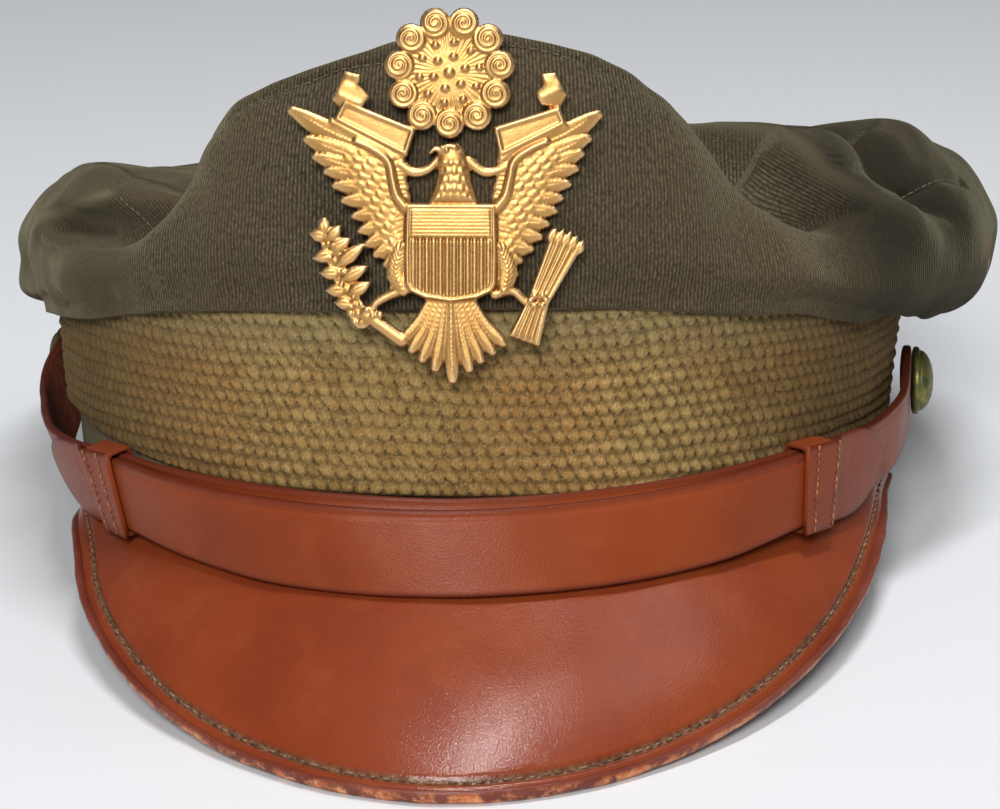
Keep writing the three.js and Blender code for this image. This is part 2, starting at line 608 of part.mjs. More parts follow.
// A loop of folded leather round both layers, running on as a round-ended tab.
function strapLoop({ lip, ringEnd, tip }) {
  const t = LOOP.thickness;
  const inner = (degrees) => {
    const half = strapHalf(degrees) + FIT;
    return [-halfThick - FIT, frontOut + FIT, -half - FRONT_LAYER.dropEnds, half];
  };
  const outer = (degrees) => {
    const [back, front, low, high] = inner(degrees);
    return [back - t, front + t, low - t, high + t];
  };
  // The hole runs out past both faces of the ring.
  const past = Math.sign(lip - ringEnd) * 2;
  const ring = toSolid(strapBar(lip, ringEnd, STRAP.step, outer));
  const hole = toSolid(strapBar(lip + past, ringEnd - past, STRAP.step, inner));
  const reach = Math.abs(tip - ringEnd);
  const tab = toSolid(
    strapBar(mix(lip, ringEnd, 0.5), tip, LOOP.step, (degrees) => {
      const beyond = (ringEnd - degrees) * Math.sign(ringEnd - tip);
      const lowered = smooth(beyond / LOOP.slope);
      const lifted = LOOP.lift * clamp01(beyond / reach) ** 2;
      const [, front] = inner(degrees);
      const [, , low, high] = outer(degrees);
      const out0 = mix(front, halfThick + FIT, lowered) + lifted;
      const along = 1 - clamp01((reach - beyond) / LOOP.tipLength);
      const half = ((high - low) / 2) * Math.sqrt(max(0.02, 1 - along * along));
      return [out0, out0 + t, (low + high) / 2 - half, (low + high) / 2 + half];
    }),
  );
  return fromSolid(ring.subtract(hole).add(tab));
}

// Buttons

function button(degrees) {
  const { middle, outward, up } = strapFrame(degrees);
  const { radius, height, rim } = BUTTON;
  const profile = [
    [0, 0], [radius - 0.8, 0], [radius, 0.5], [radius, rim], [radius * 0.93, rim + 0.5],
    [radius * 0.78, height * 0.66], [radius * 0.5, height * 0.9], [0, height],
  ];
  const geometry = new THREE.LatheGeometry(profile.map(([x, y]) => new THREE.Vector2(x, y)), 20);
  const side = new THREE.Vector3().crossVectors(outward, up).normalize();
  const seat = middle.clone().addScaledVector(outward, halfThick + FIT);
  const turn = new THREE.Matrix4().makeBasis(side, outward, up.clone().negate());
  if (turn.determinant() < 0) turn.makeBasis(side.negate(), outward, up.clone().negate());
  geometry.applyMatrix4(turn.setPosition(seat));
  return welded(geometry);
}

// Badge

function welded(geometry) {
  geometry.deleteAttribute("normal");
  geometry.deleteAttribute("uv");
  return mergeVertices(geometry, 1e-4);
}

const wasm = await Module();
wasm.setup();

function toSolid(geometry) {
  return new wasm.Manifold(
    new wasm.Mesh({
      numProp: 3,
      vertProperties: new Float32Array(geometry.getAttribute("position").array),
      triVerts: new Uint32Array(geometry.index.array),
    }),
  );
}

function fromSolid(made) {
  const mesh = made.getMesh();
  const geometry = new THREE.BufferGeometry();
  geometry.setAttribute("position", new THREE.BufferAttribute(new Float32Array(mesh.vertProperties), 3));
  geometry.setIndex(new THREE.BufferAttribute(new Uint32Array(mesh.triVerts), 1));
  return geometry;
}

// A raised plate with a star-shaped outline: flat back, sloped shoulder, low peak.
function boss(outline, front, shoulder = 0.7) {
  const n = outline.length;
  const cx = outline.reduce((sum, p) => sum + p[0], 0) / n;
  const cy = outline.reduce((sum, p) => sum + p[1], 0) / n;
  const points = [];
  for (const [x, y] of outline) points.push(new THREE.Vector3(x, y, 0));
  for (const [x, y] of outline) points.push(new THREE.Vector3(x, y, front * shoulder));
  points.push(new THREE.Vector3(cx, cy, 0), new THREE.Vector3(cx, cy, front));
  const faces = [];
  for (let i = 0; i < n; i += 1) {
    const k = (i + 1) % n;
    faces.push([i, 2 * n, k], [i, k, n + k], [i, n + k, n + i], [n + i, n + k, 2 * n + 1]);
  }
  return toSolid(solid(points, faces));
}

// A tapered bar between two points with rounded ends.
function barOutline(x0, y0, x1, y1, half0, half1, ends = 3) {
  const turn = atan2(y1 - y0, x1 - x0);
  const outline = [];
  for (let i = 0; i < ends; i += 1) {
    const a = turn + Math.PI / 2 + (Math.PI * i) / (ends - 1);
    outline.push([x0 + half0 * cos(a), y0 + half0 * sin(a)]);
  }
  for (let i = 0; i < ends; i += 1) {
    const a = turn - Math.PI / 2 + (Math.PI * i) / (ends - 1);
    outline.push([x1 + half1 * cos(a), y1 + half1 * sin(a)]);
  }
  return outline;
}

function disc(x, y, radius, sides) {
  return Array.from({ length: sides }, (_, i) => {
    const a = (2 * Math.PI * (i + 0.5)) / sides;
    return [x + radius * cos(a), y + radius * sin(a)];
  });
}

function chain(path, half, front) {
  return path.slice(1).map(([x, y], i) => boss(barOutline(path[i][0], path[i][1], x, y, half, half), front));
}

function along(path, t) {
  const i = min(path.length - 2, Math.floor(t * (path.length - 1)));
  const u = t * (path.length - 1) - i;
  const [x0, y0] = path[i];
  const [x1, y1] = path[i + 1];
  return { x: mix(x0, x1, u), y: mix(y0, y1, u), turn: atan2(y1 - y0, x1 - x0) };
}

function badgePieces() {
  const pieces = [];
  const high = BADGE.relief;
  const low = BADGE.low;
  const { halfWidth, top, side, foot } = SHIELD;
  pieces.push(
    boss([[-halfWidth, top], [-halfWidth, side], [-5, foot + 0.7], [0, foot], [5, foot + 0.7],
      [halfWidth, side], [halfWidth, top]], high + 0.5, 0.9),
  );
  for (const hand of [-1, 1]) {
    for (const { tipX, tipY, rootX, rootY, half } of FEATHERS)
      pieces.push(boss(barOutline(hand * rootX, rootY, hand * tipX, tipY, half + 0.3, half * 0.6), low));
    pieces.push(...chain(WING_ARM.map(([x, y]) => [hand * x, y]), 0.9, high));
  }
  for (const { x0, y0, x1, y1, half } of [...BANNERS, ...SCROLL_ENDS])
    pieces.push(boss(barOutline(x0, y0, x1, y1, half, half, 2), low + 0.3, 0.85));
  for (const path of SWAGS) pieces.push(...chain(path, 0.9, low));
  pieces.push(boss(disc(ROSETTE.x, ROSETTE.y, ROSETTE.core, 16), low, 0.8));
  for (let i = 0; i < ROSETTE.curls; i += 1) {
    const a = -Math.PI / 2 + (2 * Math.PI * i) / ROSETTE.curls;
    const x = ROSETTE.x + ROSETTE.ring * cos(a);
    const y = ROSETTE.y + ROSETTE.ring * sin(a);
    pieces.push(boss(disc(x, y, ROSETTE.curl, 8), high, 0.7));
  }
  pieces.push(boss(NECK, high + 0.4, 0.6));
  pieces.push(boss(barOutline(BEAK.x0, BEAK.y0, BEAK.x1, BEAK.y1, BEAK.half, 0.4), high));
  for (let i = 0; i < TAIL.feathers; i += 1) {
    const share = i / (TAIL.feathers - 1) - 0.5;
    const a = -Math.PI / 2 + rad(TAIL.spread) * share;
    const length = TAIL.length * (1 - 0.5 * share * share);
    const x0 = TAIL.topHalf * 2 * share;
    const x1 = x0 + length * cos(a);
    const y1 = TAIL.rootY + length * sin(a);
    pieces.push(boss(barOutline(x0, TAIL.rootY, x1, y1, 0.9, TAIL.half), low));
  }
  pieces.push(...chain(SPRIG, 0.8, low));
  for (const { at, side: hand, length } of LEAVES) {
    const { x, y, turn } = along(SPRIG, at);
    const a = turn - hand * 0.95;
    pieces.push(boss(barOutline(x, y, x + length * cos(a), y + length * sin(a), 0.9, 0.5, 2), low));
  }
  pieces.push(...chain(STEM, 0.9, low));
  const { x0, y0, x1, y1, foot: footHalf, grip, head, gripAt } = ARROWS;
  const gx = mix(x0, x1, gripAt);
  const gy = mix(y0, y1, gripAt);
  pieces.push(boss(barOutline(x0, y0, gx, gy, footHalf, grip, 2), low));
  pieces.push(boss(barOutline(gx, gy, x1, y1, grip, head, 2), low));
  for (const path of LEGS) pieces.push(...chain(path, 1.1, low));
  return pieces;
}

function badge() {
  const made = badgePieces().reduce((sum, piece) => sum.add(piece));
  const geometry = fromSolid(made);
  const position = geometry.getAttribute("position");
  for (let i = 0; i < position.count; i += 1)
    position.setZ(i, position.getZ(i) - position.getX(i) ** 2 / (2 * BADGE.bend));
  const lean = rad(BADGE.lean);
  const place = new THREE.Matrix4().makeBasis(
    new THREE.Vector3(1, 0, 0),
    new THREE.Vector3(0, sin(lean), cos(lean)),
    new THREE.Vector3(0, -cos(lean), sin(lean)),
  );
  geometry.applyMatrix4(place.setPosition(BADGE.x, BADGE.y, BADGE.z));
  return geometry;
}

// Assembly

const wool = new THREE.MeshStandardMaterial({ color: 0x47453a, roughness: 0.95, metalness: 0 });
const bandCloth = new THREE.MeshStandardMaterial({ color: 0x4c4c3e, roughness: 0.95, metalness: 0 });
const mohair = new THREE.MeshStandardMaterial({ color: 0x7d6430, roughness: 0.9, metalness: 0 });
const russet = new THREE.MeshStandardMaterial({ color: 0x8a3f22, roughness: 0.35, metalness: 0 });
const edging = new THREE.MeshStandardMaterial({ color: 0x7c2a1a, roughness: 0.4, metalness: 0 });
const gilt = new THREE.MeshStandardMaterial({ color: 0xc99a3f, roughness: 0.3, metalness: 1 });
const oldBrass = new THREE.MeshStandardMaterial({ color: 0x6f7044, roughness: 0.55, metalness: 0.8 });

const root = new THREE.Group();
root.name = "cap";
const tipped = new THREE.Matrix4().makeRotationX(-TIP_BACK).setPosition(-ORIGIN.x, -ORIGIN.y, LIFT);

function add(name, geometry, material) {
  geometry.applyMatrix4(tipped);
  geometry.computeVertexNormals();
  const mesh = new THREE.Mesh(geometry, material);
  mesh.name = name;
  root.add(mesh);
}

add("crown", crown(), wool);
add("band_base", bandBase(), bandCloth);
add("braid", braid(), mohair);
add("visor", visor(), russet);
add("visor_edge", visorEdge(), edging);
add("chin_strap_long", strapLong(), russet);
add("chin_strap_short", strapShort(), russet);
for (const [name, loop] of Object.entries(LOOPS)) add(name, strapLoop(loop), russet);
for (const [name, degrees] of Object.entries(BUTTONS)) add(name, button(degrees), oldBrass);
add("badge", badge(), gilt);

export default root;
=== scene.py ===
"""Looks of a soft-crowned officer's cap: wool crown, braided band, leather visor, chin strap,
side buttons and a gilt eagle badge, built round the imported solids. Tables and sizes are in
millimetres square to the band; tip() turns them into the frame's metres."""

import bmesh
import bpy
import numpy as np
from mathutils import Matrix, Vector


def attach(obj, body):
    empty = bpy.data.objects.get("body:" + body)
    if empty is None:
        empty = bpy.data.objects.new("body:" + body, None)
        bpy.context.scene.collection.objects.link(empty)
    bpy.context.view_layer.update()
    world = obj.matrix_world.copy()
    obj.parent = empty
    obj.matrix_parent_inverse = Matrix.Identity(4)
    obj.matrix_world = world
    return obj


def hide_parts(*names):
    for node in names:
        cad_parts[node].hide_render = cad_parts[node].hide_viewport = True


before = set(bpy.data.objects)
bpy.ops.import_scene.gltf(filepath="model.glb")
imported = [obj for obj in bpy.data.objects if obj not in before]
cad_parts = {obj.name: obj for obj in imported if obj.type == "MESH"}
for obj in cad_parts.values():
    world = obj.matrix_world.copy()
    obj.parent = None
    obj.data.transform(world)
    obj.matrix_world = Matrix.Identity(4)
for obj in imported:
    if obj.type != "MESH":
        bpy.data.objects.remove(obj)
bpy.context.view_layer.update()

# Sizes of the cap, as its solids have them.
TIP_BACK = np.radians(8.6)
LIFT = 15.0
ORIGIN = {"x": 3.5, "y": -12.1}
BAND_HEIGHT = 44.5
BAND_FOOT = {"half_width": 84.0, "half_length": 100.0}
BAND_TOP = {"half_width": 88.0, "half_length": 103.0}
BRAID_THICKNESS = 1.5
BAND_THICKNESS = 2.5
BAND_HEM = -5.5
FIT = 0.3
CROWN_WALL = 2.0
HEM_CLEARANCE = 0.6
PANEL = {"waves": 9, "shoulder": 0.72, "inner": 0.36, "shoulder_out": 0.64, "inner_out": 0.32}
# Where the crown hangs clear of the band its hem turns in and up under it.
HEM = {"clear": 4, "fade": 3, "climb": 7, "drop": 3, "sag": 0.8, "roll": 0.5}

# Distance from the band's axis and height of each station of the crown, from its hem to its
# crest, and the height of the top panel inside the crest, at each angle round the band.
CROWN_COLUMNS = (
    "angle", "hem_out", "hem_z", "low_out", "low_z", "fold_out", "fold_z", "high_out", "high_z",
    "rim_out", "rim_z", "crest_out", "crest_z", "top_z",
)
CROWN_SECTIONS = np.array([
    (-165, 107, 27, 114, 33, 117, 40, 115, 46, 110, 50, 101, 52, 51),
    (-140, 105, 27, 111, 32, 114, 39, 112, 45, 107, 49.5, 98, 51.5, 51),
    (-115, 98, 27, 104, 31, 107, 38, 105, 45, 99, 51, 88, 53, 51),
    (-92, 92, 28, 97, 32, 99, 39, 96, 46, 90, 53, 81, 56, 53),
    (-76, 91, 30, 92.5, 35, 93.5, 42.5, 91.5, 49, 88, 54.5, 79, 60, 55),
    (-62, 92.6, 32, 94, 38.5, 93, 46.5, 90, 51.5, 88, 55.5, 79, 60.5, 55),
    (-50, 95.5, 34, 97.5, 40.5, 95.5, 47.5, 91, 52.5, 87, 57, 79, 59, 55),
    (-41, 98, 36.5, 99.5, 44, 97, 50, 92, 55, 86, 59, 78, 60, 57),
    (-33, 100, 38.5, 101.5, 46, 100, 54, 96, 60, 91, 65, 84, 67, 64),
    (-25, 102, 40, 103.3, 50, 102, 59, 100, 68, 97, 74, 91, 76, 72),
    (-15, 104, 41, 105, 51, 104, 62, 102, 72, 99, 80, 94, 83, 77),
    (0, 105.6, 42, 106, 52, 106, 64, 104, 76, 101, 85, 95, 88.6, 79),
    (13, 104.6, 41.8, 105.2, 52, 105, 64, 103, 76, 100, 83, 94, 85.5, 78),
    (22, 103, 40.5, 103.8, 50, 102.5, 61, 100, 70, 97, 76, 90, 78, 73),
    (30, 101, 39, 102, 47, 100, 55, 97, 61, 92, 66, 85, 68, 66),
    (38, 98.8, 38, 101, 45, 98, 51, 93, 55, 87, 58, 79, 60, 62),
    (47, 97, 35, 100, 41, 98, 47.5, 93, 53, 87, 59, 78, 65, 67),
    (60, 95.5, 32, 100, 38, 100, 46, 96, 54, 91, 61, 81, 67, 66),
    (75, 95, 30, 102, 36, 104, 45, 102, 54, 94, 62, 83, 66, 65),
    (92, 95, 29, 103, 35, 107, 45, 105, 54, 98, 62, 85, 67, 64),
    (115, 102, 27, 109, 33, 113, 43, 111, 52, 105, 60, 92, 63, 59),
    (140, 107, 27, 114, 33, 118, 42, 115, 49, 109, 54, 98, 56, 54),
])
# Folds of the crown: height (+ a ridge, - a dent), half width, sharpness, and the path as angle
# and station.
LEFT_LAP = [(-53, 6.0), (-62, 5.5), (-69, 5.0), (-73, 4.4), (-72, 3.9)]
RIGHT_RIDGE = [(47, 8.2), (48, 7.2), (50, 6.2), (54, 5.3), (59, 4.6)]
FOLDS = [
    (-5, 9, 2, [(-38, 5.0), (-50, 5.1), (-62, 4.9)]),
    (-3, 4, 1.6, [(-37, 4.4), (-49, 4.5), (-60, 4.6), (-66, 4.6)]),
    (1, 8, 2, [(-42, 3.6), (-56, 3.6), (-66, 3.6)]),
    (2, 5, 2, LEFT_LAP),
    (1.5, 5, 2, [(-31, 5.4), (-33, 4.7), (-35, 3.9)]),
    (-5, 6, 2, [(-42, 7.6), (-39, 7), (-36, 6.2), (-36, 5.4)]),
    (-5, 5, 2, [(33, 7.5), (34, 6.3), (36, 5.75), (45, 5.3)]),
    (4, 7, 2, RIGHT_RIDGE),
    (-4, 6, 2, [(66, 8.2), (62, 7.0), (61, 6.0), (65, 5.2)]),
    (-3.5, 8, 2, [(42, 6.6), (45, 5.95)]),
]
FOLD_SCALE = {"per_degree": 1.62, "per_station": 12.0}
FOLD_BLURS = 30

# Centre line of the visor's rolled edge (angle, out, z) and the height of its seam at the band.
VISOR_EDGE = np.array([
    (-64, 86.2, -6.2, -3.4),
    (-57, 91.0, -8.0, -4.8),
    (-50, 96.4, -10.7, -5.6),
    (-43, 103.5, -16.2, -5.8),
    (-36, 110.6, -20.9, -5.4),
    (-30, 117.1, -24.6, -4.8),
    (-25, 122.4, -27.5, -4.2),
    (-20, 127.3, -30.1, -3.8),
    (-16, 131.2, -31.8, -3.5),
    (-8, 138.1, -33.8, -3.4),
    (0, 141.0, -34.5, -3.2),
    (8, 138.0, -33.8, -3.0),
    (15, 132.1, -32.1, -2.9),
    (23.5, 123.9, -28.3, -3.2),
    (33.5, 113.6, -22.8, -3.9),
    (40, 107.3, -19.2, -4.4),
    (47.5, 100.6, -15.1, -4.2),
    (56.5, 93.8, -10.2, -2.6),
    (67, 87.7, -4.4, -0.5),
    (74, 86.2, -1.5, 2.1),
])
VISOR_THICKNESS = 2.6
VISOR_BOW = 0.8
EDGE_RADIUS = 2.0

# Chin strap: angle, clearance of the rear layer from the band, height, lean of its foot, half
# its width.
STRAP_PATH = np.array([
    (-107, 4.4, 16.0, -5, 7.4),
    (-103, 4.6, 14.8, -10, 7.5),
    (-98, 4.3, 12.2, -16, 7.5),
    (-91, 3.9, 9.2, -23, 7.5),
    (-84, 3.8, 6.3, -22, 7.5),
    (-77, 3.5, 4.9, -19, 7.5),
    (-69, 3.6, 4.0, -21, 7.5),
    (-60, 4.0, 3.1, -23, 7.5),
    (-51, 3.6, 2.9, -21, 7.3),
    (-43, 3.2, 3.2, -16, 7.2),
    (-30, 4.8, 2.3, -11, 7.5),
    (-15, 5.9, 1.0, 3, 7.7),
    (0, 5.2, 0.5, 14, 7.7),
    (15, 3.8, 1.2, 16, 7.7),
    (27, 2.8, 2.5, 7, 7.5),
    (40, 2.5, 4.5, -4, 7.2),
    (50, 2.8, 5.1, -7, 7.3),
    (59, 3.3, 6.1, -10, 7.5),
    (67, 4.2, 9.1, -9, 7.5),
    (75, 3.6, 11.9, -2, 7.5),
    (84, 3.1, 14.6, 0, 7.5),
    (89, 2.8, 15.6, 0, 7.4),
])
STRAP = {"thickness": 1.6, "layer_gap": 0.45, "hidden": 1.2, "end_round": 6.0, "wander": 0.07}
EMBOSS = {"inset": 1.5, "half": 0.32, "rear": 0.22, "front": 0.28}
FRONT_LAYER = {"from": -46.0, "to": 44.0, "drop_middle": 2.2, "drop_ends": 0.2}
LOOPS = {
    "strap_loop_left": {"lip": -40.5, "ring_end": -46.0, "tip": -60.0, "stitches": (-42.4, -45.2)},
    "strap_loop_right": {"lip": 39.5, "ring_end": 44.5, "tip": 58.0, "stitches": (41.0, 44.6)},
}
LOOP = {"thickness": 1.0, "tip_length": 8.0, "slope": 3.0, "lift": 0.3, "sunk": 0.12}
# Powers that square the loops: their cut edges, the roundness of these, and their corners.
LOOP_POWERS = {"cut": 0.28, "round": 0.6, "corner": 0.3}
BUTTONS = {"button_left": -102.0, "button_right": 84.0}
BUTTON = {"radius": 7.0, "height": 4.4, "rim": 1.1}

# Camera: place and aim in metres, focal length for a 36 mm sensor.
CAMERA_PLACE = Vector((0.02253, -0.59473, 0.22119))
CAMERA_BACK = Vector((0.03442, -0.94992, 0.31060))
CAMERA_UP = Vector((-0.00576, 0.31059, 0.95053))
CAMERA_LENS = 109.55

# Area lights: name, place, aim, width and depth in metres, power in watts.
STUDIO_LIGHTS = [
    ("strip", (0.08, -0.21, 1.10), (0.0, -0.12, 0.0), 0.44, 0.08, 7.5),
    ("spark", (0.64, 0.18, 1.05), (0.0, -0.08, 0.0), 0.30, 0.30, 1.0),
    ("key", (-0.25, -3.00, 1.90), (0.0, 0.0, 0.05), 1.10, 1.00, 112.0),
]
SKY_COLOUR = (0.93, 0.96, 1.0, 1.0)
SKY_STRENGTH = 0.14
FLOOR_COLOUR = (0.69, 0.705, 0.725, 1.0)
FLOOR_CORNERS = [(-4, -4, 0), (4, -4, 0), (4, 8, 0), (-4, 8, 0)]


# Curves and shapes

def clamp01(v):
    return np.clip(v, 0.0, 1.0)


def smooth(v):
    t = clamp01(v)
    return t * t * (3 - 2 * t)


def mix(a, b, t):
    return a + (b - a) * t


def unit(v):
    return v / np.maximum(np.linalg.norm(v, axis=-1, keepdims=True), 1e-12)


def dot(a, b):
    return np.sum(a * b, axis=-1, keepdims=True)


def bell(distance, width, power=2):
    """1 at no distance, fading out past the width."""
    return np.exp(-((distance / width) ** power))


def circle(count):
    return np.linspace(0, 2 * np.pi, count, endpoint=False)


def spline(knots, rows, x):
    """Smooth curve through rows at rising knots."""
    x = np.asarray(x, float)
    slopes = np.empty_like(rows)
    wide = (knots[2:] - knots[:-2]).reshape((-1,) + (1,) * (rows.ndim - 1))
    slopes[1:-1] = (rows[2:] - rows[:-2]) / wide
    slopes[0] = (rows[1] - rows[0]) / (knots[1] - knots[0])
    slopes[-1] = (rows[-1] - rows[-2]) / (knots[-1] - knots[-2])
    i = np.clip(np.searchsorted(knots, x, side="right") - 1, 0, len(knots) - 2)
    h = knots[i + 1] - knots[i]
    u = (x - knots[i]) / h
    shape = u.shape + (1,) * (rows.ndim - 1)
    u, h = u.reshape(shape), h.reshape(shape)
    tangents = (u ** 3 - 2 * u * u + u) * slopes[i] + (u ** 3 - u * u) * slopes[i + 1]
    return mix(rows[i], rows[i + 1], 3 * u * u - 2 * u ** 3) + h * tangents


def curve(path, count):
    """A smooth line of points through a short path."""
    path = np.array(path, float)
    return spline(np.arange(float(len(path))), path, np.linspace(0, len(path) - 1, count))


def travelled(points):
    """Distance along a line, or each line of a grid, of points from its start."""
    steps = np.linalg.norm(np.diff(points, axis=0), axis=-1)
    return np.concatenate([np.zeros((1,) + steps.shape[1:]), np.cumsum(steps, 0)])


def band_out(angle, z):
    """Distance of the band's outer face from its axis."""
    v = z / BAND_HEIGHT
    a = mix(BAND_FOOT["half_width"], BAND_TOP["half_width"], v)
    b = mix(BAND_FOOT["half_length"], BAND_TOP["half_length"], v)
    return a * b / np.hypot(b * np.sin(angle), a * np.cos(angle))


def polar(angle, out, z):
    angle, out, z = np.broadcast_arrays(angle, out, z)
    return np.stack([out * np.sin(angle), -out * np.cos(angle), z], -1)


def tip(points):
    """From millimetres square to the band to the frame's metres, tipped back to rest."""
    x, y, z = points[..., 0], points[..., 1], points[..., 2]
    c, s = np.cos(TIP_BACK), np.sin(TIP_BACK)
    turned = [x - ORIGIN["x"], y * c + z * s - ORIGIN["y"], z * c - y * s + LIFT]
    return np.stack(turned, -1) / 1000.0


def ripple(points, size, seed, waves=14):
    """Smooth noise of about -1 to 1 with swells of the given size."""
    rng = np.random.default_rng(seed)
    total = np.zeros(points.shape[:-1])
    for _ in range(waves):
        way = unit(rng.normal(size=3)) * 2 * np.pi / (size * rng.uniform(0.7, 1.6))
        total += np.sin(points @ way + rng.uniform(0, 2 * np.pi))
    return total * 1.4 / np.sqrt(waves)


def blurred(field, times):
    """A grid of values evened out with its neighbours."""
    for _ in range(times):
        wide = np.pad(field, 1, mode="edge")
        beside = wide[:-2, 1:-1] + wide[2:, 1:-1] + wide[1:-1, :-2] + wide[1:-1, 2:]
        field = (beside + 4 * field) / 8
    return field


def dome(distance, radius):
    """Rounded edge: 0 on the outline, 1 at the given depth inside it and beyond."""
    return np.sqrt(1 - np.clip(1 + distance / radius, 0, 1) ** 2)


def scales(x, y, skew=0.0, narrow=0.0, square=2.0):
    """Overlapping scales in staggered rows, 0 to 1; each row lies over the next. They may slant
    and narrow toward their foot."""
    best = np.zeros_like(x)
    chosen = np.zeros_like(x)
    row = np.floor(y)
    for k in (-1, 0, 1):
        r = row + k
        stagger = x + 0.5 * (r % 2)
        for c in (np.floor(stagger), np.floor(stagger) + np.where(stagger % 1 > 0.5, 1, -1)):
            dx, dy = stagger - c - 0.5, y - r - 0.5
            half = 0.62 - narrow * np.maximum(dy + 0.25, 0)
            aside, down = np.abs(dx - skew * dy) / half, np.maximum(dy, 0) / 0.74
            lump = np.maximum(1 - (aside ** square + down ** 2.4), 0) ** (1.5 / square)
            height = lump * np.clip(0.62 + 0.75 * dy, 0, 1.1)
            higher = height > best
            best = np.where(higher, height, best)
            chosen = np.where(higher, r * 57.0 + c, chosen)
    odd = np.sin(chosen * 12.9898) * 43758.5453
    return best, odd - np.floor(odd)


def rest_z(y):
    """Height square to the band of the surface that the cap rests on."""
    return -(LIFT - y * np.sin(TIP_BACK)) / np.cos(TIP_BACK)


# Meshes

# Distances, in metres, within which points merge.
WELD_GAP = 1e-6
THREAD_GAP = 1e-7
BUTTON_GAP = 4e-6


def mesh_object(name, points, faces, uv=None, marks=None):
    """A smooth-shaded object; uv holds one pair a face corner, marks one number a vertex."""
    mesh = bpy.data.meshes.new(name)
    faces = np.asarray(faces)
    mesh.vertices.add(len(points))
    mesh.vertices.foreach_set("co", np.asarray(points, np.float32).ravel())
    sides = faces.shape[1]
    mesh.loops.add(faces.size)
    mesh.loops.foreach_set("vertex_index", faces.astype(np.int32).ravel())
    mesh.polygons.add(len(faces))
    mesh.polygons.foreach_set("loop_start", np.arange(0, faces.size, sides, dtype=np.int32))
    mesh.polygons.foreach_set("use_smooth", np.ones(len(faces), bool))
    mesh.update(calc_edges=True)
    if uv is not None:
        layer = mesh.uv_layers.new(name="cloth")
        layer.data.foreach_set("uv", np.asarray(uv, np.float32).ravel())
    for mark, values in (marks or {}).items():
        attribute = mesh.attributes.new(mark, "FLOAT", "POINT")
        attribute.data.foreach_set("value", np.asarray(values, np.float32).ravel())
    made = bpy.data.objects.new(name, mesh)
    bpy.context.scene.collection.objects.link(made)
    return made


def strip(points, uv=None, marks=None, ring=False, wrap=False):
    """Faces of a grid of points (rows, columns, 3); ring joins the last row to the first and
    wrap the last column to the first. A uv grid is one longer each way that closes."""
    rows, columns = points.shape[:2]
    i = np.arange(rows if ring else rows - 1)[:, None]
    j = np.arange(columns if wrap else columns - 1)[None, :]
    near, far = i * columns, ((i + 1) % rows) * columns
    faces = np.stack([near + j, far + j, far + (j + 1) % columns, near + (j + 1) % columns], -1)
    part = {"points": points.reshape(-1, 3), "faces": faces.reshape(-1, 4)}
    if uv is not None:
        corners = [uv[i, j], uv[i + 1, j], uv[i + 1, j + 1], uv[i, j + 1]]
        part["uv"] = np.stack(corners, -2).reshape(-1, 2)
    part["marks"] = {k: np.asarray(v).ravel() for k, v in (marks or {}).items()}
    return part


def fan(ring_points, flip=False):
    """A cap over one ring of points, as slim quads that share the ring's middle."""
    n = len(ring_points)
    middle = ring_points.mean(0)
    points = np.concatenate([ring_points, mix(ring_points, middle, 0.5), middle[None]])
    i = np.arange(n)
    k = (i + 1) % n
    outer = np.stack([i, k, n + k, n + i], -1)
    even = i[::2], k[::2], (k[::2] + 1) % n
    inner = np.stack([*(n + part for part in even), np.full(len(even[0]), 2 * n)], -1)
    faces = np.concatenate([outer, inner])
    return {"points": points, "faces": faces[:, ::-1] if flip else faces, "marks": {}}


def closed(points, uv=None, marks=None):
    """A sweep of closed sections, in millimetres, with a fan over each end."""
    points = tip(points)
    return [strip(points, uv, marks, wrap=True), fan(points[0]), fan(points[-1], True)]


def joined(name, parts):
    """One object from several parts of quads, kept welded inside each part."""
    points, faces, uvs, start = [], [], [], 0
    names = sorted({k for part in parts for k in part["marks"]})
    marks = {k: [] for k in names}
    for part in parts:
        points.append(part["points"])
        faces.append(part["faces"] + start)
        start += len(part["points"])
        uvs.append(part.get("uv", np.zeros((part["faces"].size, 2))))
        for k in names:
            marks[k].append(part["marks"].get(k, np.zeros(len(part["points"]))))
    marks = {k: np.concatenate(v) for k, v in marks.items()}
    return mesh_object(name, np.concatenate(points), np.concatenate(faces), np.concatenate(uvs), marks)


def weld(made, distance):
    """Merges coincident points and turns the faces outward."""
    work = bmesh.new()
    work.from_mesh(made.data)
    bmesh.ops.remove_doubles(work, verts=work.verts, dist=distance)
    bmesh.ops.dissolve_degenerate(work, edges=work.edges, dist=distance)
    bmesh.ops.recalc_face_normals(work, faces=work.faces)
    work.to_mesh(made.data)
    work.free()
    return made


def dressed(made, node, slot, *paints):
    """Gives a piece its paints and body, and hides the solid of the node that it stands for; slot is
    not used.
    """
    for paint in paints:
        made.data.materials.append(paint)
    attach(made, "root")
    if node:
        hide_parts(node)


def piece(name, parts, node, slot, *paints, gap=WELD_GAP):
    """One welded object from parts of quads; gap is the distance within which points merge."""
    dressed(weld(joined(name, parts), gap), node, slot, *paints)


# Materials

